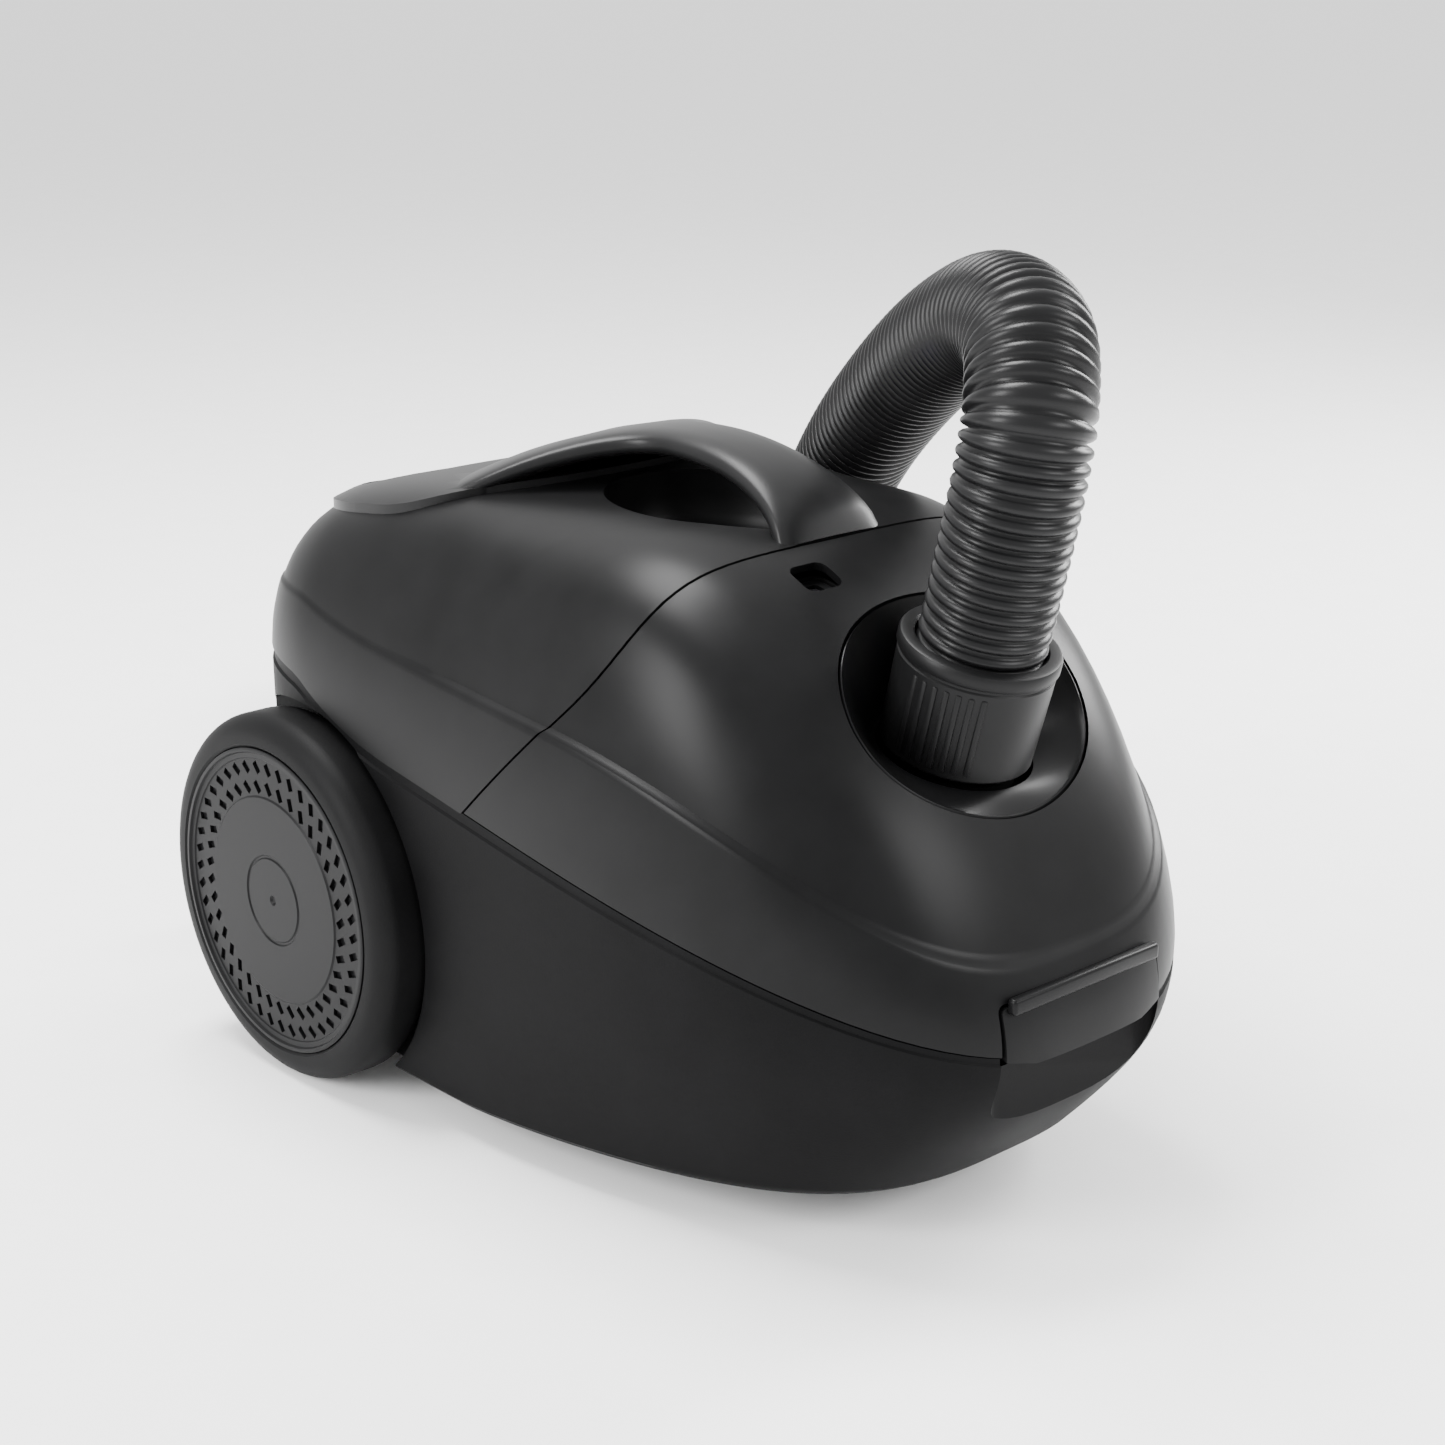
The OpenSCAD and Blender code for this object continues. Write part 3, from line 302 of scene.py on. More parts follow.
def lathe(name: str, profile: Sequence[tuple[float, float]], axis: Matrix,
          steps: int = 96) -> bpy.types.Object:
    """Spins a closed profile of (radius, height) about Z, then places it.

    Args:
        name: Object name.
        profile: Closed loop of (radius, height) in millimetres.
        axis: Placement in millimetres.
        steps: Segments round the axis.

    Returns:
        The turned solid.
    """
    bm = bmesh.new()
    verts = [bm.verts.new(Vector((r, 0, h))) for r, h in profile]
    edges = [bm.edges.new((verts[i], verts[(i + 1) % len(verts)])) for i in range(len(verts))]
    bmesh.ops.spin(bm, geom=verts + edges, cent=(0, 0, 0), axis=(0, 0, 1), dvec=(0, 0, 0),
                   angle=math.tau, steps=steps, use_merge=True, use_duplicate=False)
    bmesh.ops.remove_doubles(bm, verts=bm.verts, dist=1e-4)
    bmesh.ops.transform(bm, matrix=Matrix.Scale(MM, 4) @ axis, verts=bm.verts)
    return from_bmesh(name, bm)


def prism(name: str, outline: Sequence[tuple[float, float]], low: float, high: float,
          place: Matrix = Matrix()) -> bpy.types.Object:
    """Extrudes an outline along Z.

    Args:
        name: Object name.
        outline: Closed loop in millimetres.
        low: Lower height.
        high: Upper height.
        place: Placement in millimetres.

    Returns:
        The solid.
    """
    bm = bmesh.new()
    face = bm.faces.new([bm.verts.new((x, y, low)) for x, y in outline])
    made = bmesh.ops.extrude_face_region(bm, geom=[face])
    top = [g for g in made["geom"] if isinstance(g, bmesh.types.BMVert)]
    bmesh.ops.translate(bm, vec=(0, 0, high - low), verts=top)
    bmesh.ops.transform(bm, matrix=Matrix.Scale(MM, 4) @ place, verts=bm.verts)
    return from_bmesh(name, bm)


def block(name: str, low: Point, high: Point, round_by: float = 0.0,
          segments: int = 3) -> bpy.types.Object:
    """Makes a box between two corners with rounded edges.

    Args:
        name: Object name.
        low: Lowest corner in millimetres.
        high: Highest corner in millimetres.
        round_by: Edge radius.
        segments: Steps in each rounded edge.

    Returns:
        The solid.
    """
    bm = bmesh.new()
    size = Vector(high) - Vector(low)
    mid = (Vector(high) + Vector(low)) / 2
    bmesh.ops.create_cube(bm, size=1.0)
    bmesh.ops.scale(bm, vec=size, verts=bm.verts)
    bmesh.ops.translate(bm, vec=mid, verts=bm.verts)
    if round_by:
        bmesh.ops.bevel(bm, geom=bm.edges[:], offset=round_by, offset_type="OFFSET",
                        segments=segments, profile=0.5, affect="EDGES", material=-1)
    bmesh.ops.scale(bm, vec=(MM, MM, MM), verts=bm.verts)
    return from_bmesh(name, bm)


def carve(target: bpy.types.Object, cutter: bpy.types.Object,
          how: str = "DIFFERENCE") -> bpy.types.Object:
    """Applies an exact boolean and removes the cutter.

    Args:
        target: Object to change.
        cutter: Other solid, removed afterwards.
        how: DIFFERENCE, UNION or INTERSECT.

    Returns:
        The changed target.
    """
    mod = target.modifiers.new("carve", "BOOLEAN")
    mod.operation = how
    mod.solver = "EXACT"
    mod.object = cutter
    graph = bpy.context.evaluated_depsgraph_get()
    mesh = bpy.data.meshes.new_from_object(target.evaluated_get(graph))
    target.modifiers.clear()
    old, target.data = target.data, mesh
    bpy.data.meshes.remove(old)
    bpy.data.meshes.remove(cutter.data)
    return target


def dress(obj: bpy.types.Object, body: str, finish: str,
          nodes: Iterable[str] = (), sharp: float = 32.0) -> bpy.types.Object:
    """Finishes a piece: shading, material, body and the nodes it stands for.

    Args:
        obj: The piece.
        body: Body that it rides on.
        finish: Key in FINISHES.
        nodes: CAD nodes that it replaces.
        sharp: Angle in degrees above which an edge stays sharp.

    Returns:
        The same piece.
    """
    mesh = obj.data
    bm = bmesh.new()
    bm.from_mesh(mesh)
    bmesh.ops.remove_doubles(bm, verts=bm.verts, dist=2e-6)
    bm.to_mesh(mesh)
    bm.free()
    mesh.polygons.foreach_set("use_smooth", [True] * len(mesh.polygons))
    mesh.set_sharp_from_angle(angle=math.radians(sharp))
    mesh.materials.clear()
    mesh.materials.append(PALETTE.get(finish))
    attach(obj, body)
    if nodes:
        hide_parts(*nodes)
    log.info("%s: %d faces on %s", obj.name, len(mesh.polygons), body)
    return obj


def clamp(v: float, low: float = 0.0, high: float = 1.0) -> float:
    """Holds a value between two limits.

    Args:
        v: Value.
        low: Lower limit.
        high: Upper limit.

    Returns:
        The held value.
    """
    return min(max(v, low), high)


def ease(v: float) -> float:
    """Smooth step from 0 to 1.

    Args:
        v: Position.

    Returns:
        The eased position.
    """
    v = clamp(v)
    return v * v * (3 - 2 * v)


# ---- Body form --------------------------------------------------------------


@dataclass(frozen=True)
class BodyForm:
    """Outer surface of the moulded body.

    Args:
        nose: Foremost point.
        tail: Rearmost point.
        half: Half width.
        crown: Height of the crown.
        wide: Lengthwise place of the widest ring at the seam.
        pull: How far the dome's middle moves forwards up to the crown.
        ledge: Depth of the step round the flank.
        ledge_at: Height share of that step on the dome.
        around: Points in each ring.
    """

    nose: float = -193.0
    tail: float = 174.0
    half: float = 114.0
    crown: float = 240.0
    wide: float = 30.0
    pull: float = 40.0
    ledge: float = 2.6
    ledge_at: float = 0.275
    around: int = 180

    def seam_z(self, y: float) -> float:
        """Height of the seam between casing and upper shells."""
        share = clamp((y - self.nose) / (self.tail - self.nose))
        return 78 + 82 * share ** 0.6 + 12 * clamp((y - 58) / 62) ** 2

    def top_z(self, y: float) -> float:
        """Height of the crown line."""
        return (self.crown - 0.004 * max(0.0, -30 - y) ** 2
                - 0.0009 * max(0.0, y - 60) ** 2)

    def under_z(self, y: float) -> float:
        """Height of the underside."""
        return 13 + 8 * clamp((20 - y) / 190) + 0.0006 * max(0.0, y - 60) ** 2

    def outline(self, a: float, k: float, yc: float, inset: float) -> tuple[float, float]:
        """Point of the plan outline in direction a.

        Args:
            a: Direction in radians.
            k: Share of the full outline.
            yc: Middle of the outline.
            inset: Distance inside the outer surface.

        Returns:
            The x and y of the point.
        """
        front = math.sin(a) < 0
        n = 2.9 if front else 5.0
        long = yc - self.nose - inset if front else self.tail - inset - yc
        wx = self.half - inset
        r = k * ((abs(math.cos(a)) / wx) ** n + (abs(math.sin(a)) / long) ** n) ** (-1 / n)
        return r * math.cos(a), yc + r * math.sin(a)

    def step(self, t: float, y: float) -> float:
        """Inset of the dome above the flank step."""
        fade = 1 - 0.75 * ease((y - 10) / 60)
        return self.ledge * fade * ease((t - self.ledge_at) / 0.016)

    def dome(self, t: float, a: float, inset: float, lift: float) -> Vector:
        """Point of the dome at height share t and direction a."""
        k = math.cos(math.pi / 2 * t) ** (0.36 - 0.12 * max(0.0, math.sin(a)))
        yc = self.wide - self.pull * t
        flat = self.outline(a, k, yc, inset)
        inner = inset + (self.step(t, flat[1]) * (1 - ease((t - 0.35) / 0.5)) if t > 0.2 else 0)
        x, y = self.outline(a, k, yc, inner)
        base = self.seam_z(y) + lift
        return Vector((x, y, base + (self.top_z(y) - inset - base) * math.sin(math.pi / 2 * t)))

    def case(self, t: float, a: float, inset: float, lift: float) -> Vector:
        """Point of the casing, from its rim at t 0 down to t 1."""
        k = 1 - 0.03 * t * t - 0.14 * max(0.0, -math.sin(a)) ** 2 * t * t
        x, y = self.outline(a, k, self.wide, inset)
        low = self.under_z(y) + inset + 3
        high = self.seam_z(y) + lift
        return Vector((x, y, high + (low - high) * t))

    def turns(self) -> list[float]:
        """Directions of the ring points."""
        return [-math.tau * i / self.around for i in range(self.around)]

    def dome_solid(self, name: str, inset: float = 0.0, lift: float = 0.0) -> bpy.types.Object:
        """Closed solid under the dome."""
        ts = [0, 0.012, 0.04, 0.08, 0.12, 0.16, 0.2, 0.235, 0.262, 0.274, 0.279, 0.284, 0.29,
              0.3, 0.33, 0.37, 0.42, 0.47, 0.52, 0.57, 0.62, 0.67, 0.72, 0.76, 0.8, 0.84, 0.87,
              0.9, 0.925, 0.945, 0.96, 0.972, 0.982, 0.99, 0.995, 0.9985, 0.9997]
        return loft(name, [[self.dome(t, a, inset, lift) for a in self.turns()] for t in ts])

    def case_solid(self, name: str, inset: float = 0.0, lift: float = 0.0) -> bpy.types.Object:
        """Closed solid of the casing, with a fine step under its rim."""
        rings: list[Ring] = []
        for k in (0.3, 0.6, 0.85, 0.94, 0.972):
            ring = []
            for a in self.turns():
                full = 1 - 0.03 - 0.14 * max(0.0, -math.sin(a)) ** 2
                x, y = self.outline(a, full * k, self.wide, inset)
                ring.append(Vector((x, y, self.under_z(y) + inset)))
            rings.append(ring)
        drop = [(0.0, 0.7), (0.032, 0.7), (0.04, 0.0)] if not inset else [(0.0, 0.0)]
        for t in (1.0, 0.985, 0.96, 0.92, 0.86, 0.78, 0.68, 0.58, 0.48, 0.38, 0.28, 0.18, 0.1):
            rings.append([self.case(t, a, inset, lift) for a in self.turns()])
        for t, extra in reversed(drop):
            rings.append([self.case(t, a, inset + extra, lift) if t else
                          self.case(0.0, a, inset + extra, lift) for a in self.turns()])
        return loft(name, rings)


FORM = BodyForm()


def oval(wx: float, wy: float, count: int = 96) -> list[tuple[float, float]]:
    """Points of an ellipse.

    Args:
        wx: Half width.
        wy: Half length.
        count: Number of points.

    Returns:
        The closed loop.
    """
    return [(wx * math.cos(math.tau * i / count), wy * math.sin(math.tau * i / count))
            for i in range(count)]


def rounded(w: float, h: float, r: float, steps: int = 6) -> list[tuple[float, float]]:
    """Points of a rectangle with round corners.

    Args:
        w: Width.
        h: Height.
        r: Corner radius.
        steps: Steps in each corner.

    Returns:
        The closed loop.
    """
    loop = []
    for q, (sx, sy) in enumerate(((1, 1), (-1, 1), (-1, -1), (1, -1))):
        for i in range(steps + 1):
            a = math.pi / 2 * (q + i / steps)
            loop.append((sx * (w / 2 - r) + r * math.cos(a), sy * (h / 2 - r) + r * math.sin(a)))
    return loop


def lid_side(off: float) -> list[tuple[float, float]]:
    """Side outline of everything in front of the lid seam, as (y, z).

    Args:
        off: How far the seam is moved back.

    Returns:
        The closed loop.
    """
    a, b, c = Vector((12 + off, 135)), Vector((-68 + off, 213)), Vector((-68 + off, 400))
    curve = []
    for i in range(13):
        s = i / 12
        p, q = a.lerp(b, 0.62 + 0.38 * s), b.lerp(b + Vector((0, 40)), s)
        curve.append(tuple(p.lerp(q, s)))
    return [(12 + off, -50), tuple(a), *curve, tuple(c), (-400, 400), (-400, -50)]


def seam_cut(off: float) -> bpy.types.Object:
    """Solid in front of the lid seam."""
    place = Matrix(((0, 0, 1, 0), (1, 0, 0, 0), (0, 1, 0, 0), (0, 0, 0, 1)))
    return prism("seam", lid_side(off), -200, 200, place)


INLET = Matrix.Translation((0, -126, 171)) @ Matrix.Rotation(math.radians(15), 4, "X")
WINDOW = (Matrix.Translation((0, 124, FORM.top_z(124) - 1))
          @ Matrix.Rotation(math.radians(-6), 4, "X"))
INDICATOR = (Matrix.Translation((-27, -82, FORM.top_z(-82) - 4))
             @ Matrix.Rotation(math.radians(11), 4, "X"))


# ---- Studio -----------------------------------------------------------------


@dataclass(frozen=True)
class Lamp:
    """One soft area light.

    Args:
        name: Light name.
        place: Position in metres.
        aim: Point it faces.
        size: Width and height.
        power: Watts.
    """

    name: str
    place: Point
    aim: Point
    size: tuple[float, float]
    power: float

    def make(self) -> None:
        """Adds the light to the scene."""
        data = bpy.data.lights.new(self.name, "AREA")
        data.shape = "RECTANGLE"
        data.size, data.size_y = self.size
        data.energy = self.power
        obj = bpy.data.objects.new(self.name, data)
        obj.location = self.place
        look = Vector(self.aim) - Vector(self.place)
        obj.rotation_euler = look.to_track_quat("-Z", "Y").to_euler()
        bpy.context.scene.collection.objects.link(obj)


@dataclass(frozen=True)
class Studio:
    """Camera, floor and lights."""

    eye: Point = (-0.6563, -0.7232, 0.4621)
    aim: Point = (-0.0462, -0.0552, 0.1722)
    lens: float = 65.92
    lamps: tuple[Lamp, ...] = (
        Lamp("top", (-0.1, 0.5, 1.7), (0, 0, 0.1), (1.1, 0.5), 62.0),
        Lamp("left", (-1.7, 0.3, 0.9), (0, 0, 0.15), (0.5, 1.0), 46.0),
        Lamp("front", (0.5, -1.7, 1.1), (0, -0.1, 0.1), (0.9, 0.5), 24.0),
        Lamp("right", (1.5, -0.2, 0.9), (0, -0.1, 0.25), (0.4, 0.9), 38.0),
    )

    def make(self) -> None:
        """Adds the camera, a pale floor, the world and the lamps."""
        scene = bpy.context.scene
        data = bpy.data.cameras.new("camera")
        data.lens = self.lens
        data.sensor_width = 36.0
        cam = bpy.data.objects.new("camera", data)
        cam.location = self.eye
        look = Vector(self.aim) - Vector(self.eye)
        cam.rotation_euler = look.to_track_quat("-Z", "Y").to_euler()
        scene.collection.objects.link(cam)
        scene.camera = cam
        world = bpy.data.worlds.new("world")
        world.use_nodes = True
        back = world.node_tree.nodes["Background"]
        back.inputs["Color"].default_value = (1, 1, 1, 1)
        back.inputs["Strength"].default_value = 1.6
        scene.world = world
        for lamp in self.lamps:
            lamp.make()
        bm = bmesh.new()
        bmesh.ops.create_grid(bm, x_segments=2, y_segments=2, size=30.0)
        floor = from_bmesh("floor", bm)
        floor.data.materials.append(
            Finish("floor_white", (0.94, 0.94, 0.94), 0.9, 0.02, Grain.SOFT, 0.0, 0, 0.1, 0.01).make())


# ---- Hose -------------------------------------------------------------------


@dataclass(frozen=True)
class Hose:
    """Ribbed suction hose on its stored route.

    Args:
        route: Points that it passes, in millimetres.
        crest: Radius over the ribs.
        root: Radius between the ribs.
        pitch: Distance between ribs.
        sides: Points round the hose.
    """

    route: tuple[Point, ...] = (
        (0, -131, 190), (0, -139, 218), (0, -146, 246), (1, -151, 272), (6, -150, 294),
        (22, -134, 312), (44, -100, 314), (68, -56, 298), (92, -10, 272), (114, 34, 240),
        (136, 74, 204), (156, 110, 160), (174, 144, 112), (190, 178, 68), (208, 212, 36),
        (232, 250, 24), (258, 290, 24), (280, 332, 24), (294, 376, 24), (300, 422, 24),
        (294, 468, 24), (270, 508, 24), (230, 526, 24), (188, 516, 24), (154, 484, 24),
        (130, 446, 24), (120, 408, 24), (120, 376, 24), (120, 345, 24))
    crest: float = 23.0
    root: float = 19.8
    pitch: float = 5.4
    sides: int = 36
    profile: tuple[float, ...] = (0.0, 0.62, 0.93, 1.0, 0.93, 0.62)

    def line(self) -> list[Vector]:
        """Points spaced evenly along the smooth route."""
        p = [Vector(q) for q in self.route]
        dense: list[Vector] = []
        for i in range(len(p) - 1):
            a, b, c, d = p[max(0, i - 1)], p[i], p[i + 1], p[min(len(p) - 1, i + 2)]
            for k in range(40):
                t = k / 40
                dense.append(0.5 * (2 * b + (c - a) * t + (2 * a - 5 * b + 4 * c - d) * t * t
                                    + (3 * b - a - 3 * c + d) * t ** 3))
        dense.append(p[-1])
        reach = [0.0]
        for a, b in zip(dense, dense[1:]):
            reach.append(reach[-1] + (b - a).length)
        count = round(reach[-1] / self.pitch) * len(self.profile)
        out, j = [], 0
        for i in range(count + 1):
            s = reach[-1] * i / count
            while j < len(reach) - 2 and reach[j + 1] < s:
                j += 1
            out.append(dense[j].lerp(dense[j + 1], (s - reach[j]) / (reach[j + 1] - reach[j])))
        return out

    def make(self) -> bpy.types.Object:
        """Returns:
            The hose.
        """
        line = self.line()
        side = Vector((1, 0, 0))
        rings: list[Ring] = []
        for i, p in enumerate(line):
            ahead = (line[min(i + 1, len(line) - 1)] - line[max(i - 1, 0)]).normalized()
            side = (side - ahead * side.dot(ahead)).normalized()
            up = ahead.cross(side)
            r = self.root + (self.crest - self.root) * self.profile[i % len(self.profile)]
            rings.append([p + r * (math.cos(w) * side + math.sin(w) * up)
                          for w in (math.tau * j / self.sides for j in range(self.sides))])
        hose = loft("suction_hose_ribbed", rings)
        mesh = hose.data
        mesh.polygons.foreach_set("use_smooth", [True] * len(mesh.polygons))
        mesh.materials.append(PALETTE.get("hose"))
        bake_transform(hose)
        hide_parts("suction_hose")
        return hose


# ---- Body shells ------------------------------------------------------------


def wheel_place(side: int) -> Matrix:
    """Placement of a wheel's axis.

    Args:
        side: -1 for left, 1 for right.

    Returns:
        The placement, with Z along the axle and outwards.
    """
    return (Matrix.Translation((side * 102, 118, 75))
            @ Matrix.Rotation(math.radians(90 * side), 4, "Y"))


@dataclass(frozen=True)
class Shells:
    """Lower casing, rear cover and lid.

    Args:
        wall: Wall thickness.
        lift: Gap between lid and casing.
        gap: Gap between lid and rear cover.
        well: Radius of the wheel arches.
        recess: Half axes of the hand recess.
        recess_y: Middle of the hand recess.
        recess_z: Floor of the hand recess.
    """

    wall: float = 3.0
    lift: float = 1.1
    gap: float = 1.3
    well: float = 79.0
    recess: tuple[float, float] = (42.0, 50.0)
    recess_y: float = -6.0
    recess_z: float = 216.0

    def casing(self) -> bpy.types.Object:
        """Lower casing with wheel arches, latch recess and outlets."""
        case = FORM.case_solid("lower_casing_shell")
        carve(case, FORM.case_solid("inner", self.wall, 4))
        for side in (-1, 1):
            cup = prism("cup", oval(self.well + 3, self.well + 3, 96), -6, 40, wheel_place(side))
            carve(cup, FORM.case_solid("limit", 1.0), "INTERSECT")
            carve(case, cup, "UNION")
        for side in (-1, 1):
            carve(case, prism("well", oval(self.well, self.well, 96), -2.5, 60, wheel_place(side)))
            carve(case, prism("boss", oval(9, 9, 32), -20, 10, wheel_place(side)))
        carve(case, casing_backing("backing", (-46, -192, 40), (46, -172, 77)), "UNION")
        carve(case, block("pocket", (-41.5, -214, 47), (41.5, -182, 90), 5, 5))
        carve(case, prism("caster", oval(16.5, 16.5, 48), 0, 46, Matrix.Translation((0, -127, 0))))
        for x in range(-40, 41, 16):
            carve(case, block("slot", (x - 2.5, 30, 8), (x + 2.5, 90, 20), 2, 2))
        carve(case, block("outlet", (-55, 160, 129), (55, 190, 155), 3, 3))
        hole = Matrix.Translation((62, 160, 70)) @ Matrix.Rotation(math.radians(-90), 4, "X")
        carve(case, prism("hole", oval(9.4, 9.4, 32), 0, 30, hole))
        return dress(case, "base", "casing", ["lower_casing"])

    def cover(self) -> bpy.types.Object:
        """Rear cover with the hand recess and the window opening."""
        cover = FORM.dome_solid("rear_cover_shell")
        carve(cover, FORM.dome_solid("inner", self.wall, -4))
        seat = Matrix.Translation((0, self.recess_y, 0))
        wx, wy = self.recess
        bowl = prism("bowl", oval(wx + 3, wy + 3), self.recess_z - 3, 300, seat)
        carve(bowl, FORM.dome_solid("limit", 1.0), "INTERSECT")
        carve(cover, bowl, "UNION")
        carve(cover, seam_cut(self.gap))
        rings = [[Vector((x * s, y * s + self.recess_y, z)) for x, y in oval(wx, wy)]
                 for s, z in ((0.86, self.recess_z), (0.91, self.recess_z + 0.8),
                              (0.95, self.recess_z + 3), (0.98, self.recess_z + 7),
                              (1.0, self.recess_z + 14), (1.01, 300))]
        carve(cover, loft("hollow", rings))
        for y in (-20, 16):
            carve(cover, prism("keyway", rounded(40.8, 30.8, 6), 190, 230,
                               Matrix.Translation((0, y, 0))))
        carve(cover, prism("pane", oval(72, 28), -30, 30, WINDOW))
        return dress(cover, "base", "cover", ["rear_cover"])

    def lid(self) -> bpy.types.Object:
        """Hinged lid with the openings for inlet, indicator and latch."""
        lid = FORM.dome_solid("lid_shell_smooth", 0, self.lift)
        carve(lid, FORM.dome_solid("inner", self.wall, -4))
        carve(lid, seam_cut(0), "INTERSECT")
        carve(lid, prism("inlet", oval(55.6, 38.6, 128), -30, 120, INLET))
        carve(lid, prism("pocket", rounded(17, 14, 4), -14, 20, INDICATOR))
        carve(lid, block("latch", (-41.4, -215, 70), (41.4, -170, 102.6), 3, 4))
        return dress(lid, "lid", "lid", ["lid_shell"])


def casing_backing(name: str, low: Point, high: Point) -> bpy.types.Object:
    """Part of the casing's solid between two corners, as backing for a pocket.

    Args:
        name: Object name.
        low: Lowest corner.
        high: Highest corner.

    Returns:
        The solid.
    """
    return carve(block(name, low, high), FORM.case_solid("limit", 1.0), "INTERSECT")


# ---- Handle and window ------------------------------------------------------


@dataclass(frozen=True)
class Handle:
    """Strap handle whose rear foot spreads into a ring round the window.

    Args:
        front: Front end of the strap.
        rear: Rear end of the strap.
        top: Highest point of the strap.
        half: Half width of the strap.
        thick: Thickness of the strap.
        flare: How much wider the strap's half gets at the foot.
        flare_from: Where the flare starts.
        flare_over: Length over which it grows.
        foot_half: Half width of the foot.
        foot_y: Middle of the foot.
        proud: Height of the foot over the cover.
        pane: Half axes of the window opening.
        steps: Rings along the strap.
    """

    front: float = -62.0
    rear: float = 98.0
    top: float = 263.0
    half: float = 17.0
    thick: float = 9.0
    flare: float = 56.0
    flare_from: float = 8.0
    flare_over: float = 66.0
    foot_half: float = 89.0
    foot_y: float = 104.0
    proud: float = 2.6
    pane: tuple[float, float] = (72.2, 28.2)
    steps: int = 56

    def y(self, u: float) -> float:
        """Length position at share u."""
        return self.front + (self.rear - self.front) * u

    def z(self, u: float) -> float:
        """Height of the upper face at share u."""
        foot = FORM.crown - 6
        return foot + (self.top - foot) * math.sin(math.pi * clamp(u) ** 0.8) ** 0.62

    def spread(self, u: float) -> float:
        """How far the strap has spread into the foot at share u, from 0 to 1."""
        return ease((self.y(u) - self.flare_from) / self.flare_over)

    def ring(self, u: float) -> Ring:
        """Cross-section at share u, crowned and bent down towards the foot's sides."""
        a = math.atan2(self.z(u + 0.01) - self.z(u - 0.01), self.y(u + 0.01) - self.y(u - 0.01))
        w = self.half * (1 + 0.5 * (1 - u) ** 8) + self.flare * self.spread(u) ** 1.5
        out = []
        for i in range(40):
            c = math.tau * i / 40
            x = w * math.copysign(abs(math.cos(c)) ** 0.45, math.cos(c))
            d = self.thick / 2 * math.copysign(abs(math.sin(c)) ** 0.7, math.sin(c))
            crown = 1.2 * (1 - (x / w) ** 2) if d > 0 else 0.0
            crown -= 15.0 * (x / 88) ** 2 * self.spread(u)
            out.append(Vector((x, self.y(u) - d * math.sin(a),
                               self.z(u) - self.thick / 2 + (d + crown) * math.cos(a))))
        return out

    def plan(self) -> list[tuple[float, float]]:
        """Outline of the foot seen from above, wide in front and round at the back."""
        out = []
        for i in range(144):
            a = math.tau * i / 144
            front = math.sin(a) < 0
            n, deep = (3.4, 52.0) if front else (2.3, 62.0)
            wide = self.foot_half
            r = ((abs(math.cos(a)) / wide) ** n + (abs(math.sin(a)) / deep) ** n) ** (-1 / n)
            sag = 9 * (r * math.cos(a) / wide) ** 2 if front else 0.0
            out.append((r * math.cos(a), self.foot_y + sag * abs(math.sin(a)) + r * math.sin(a)))
        return out

    def make(self) -> bpy.types.Object:
        """Builds the handle."""
        strap = loft("carry_handle_smooth",
                     [self.ring(0.004 + 0.966 * i / self.steps) for i in range(self.steps + 1)])
        foot = FORM.dome_solid("foot", -self.proud)
        carve(foot, prism("edge", self.plan(), 180, 300), "INTERSECT")
        carve(foot, prism("pane", oval(*self.pane, 128), -40, 60, WINDOW))
        carve(strap, foot, "UNION")
        carve(strap, prism("pane", oval(*self.pane, 128), -40, 60, WINDOW))
        for i in range(7):
            u = 0.28 + 0.04 * i
            rib = block("rib", (-9, self.y(u) - 1.3, self.z(u) - self.thick - 1.1),
                        (9, self.y(u) + 1.3, self.z(u) - self.thick + 1), 0.6, 2)
            carve(strap, rib, "UNION")
        return dress(strap, "base", "handle", ["carry_handle"], 38)


@dataclass(frozen=True)
class Window:
    """Smoked oval window with its rim and the tray seen through it.

    Args:
        wide: Half axis across.
        long: Half axis along.
        rim: Width of the bezel.
    """

    wide: float = 71.6
    long: float = 27.6
    rim: float = 5.0

    def make(self) -> None:
        """Builds lens, bezel and tray."""
        lens = FORM.dome_solid("window_lens_curved", 0.9)
        carve(lens, prism("edge", oval(self.wide, self.long, 128), -12, 30, WINDOW), "INTERSECT")
        carve(lens, FORM.dome_solid("inside", 3.1))
        dress(lens, "base", "glass", ["window_lens"])
        bezel = prism("window_bezel_ring", oval(self.wide, self.long, 128), -8.5, -5.2, WINDOW)
        carve(bezel, prism("hole", oval(self.wide - self.rim, self.long - self.rim, 128), -12, 0, WINDOW))
        dress(bezel, "base", "handle", ["window_bezel"])
        tray = prism("window_tray", oval(self.wide - 1, self.long - 1, 96), -17, -14, WINDOW)
        for x in range(-48, 49, 16):
            low = WINDOW @ Vector((x - 1.2, -18, -15))
            carve(tray, block("rib", (low.x, low.y, low.z), (low.x + 2.4, low.y + 36, low.z + 6),
                              0.8, 2), "UNION")
        dress(tray, "base", "inner")


# ---- Inlet, cuff and small parts --------------------------------------------


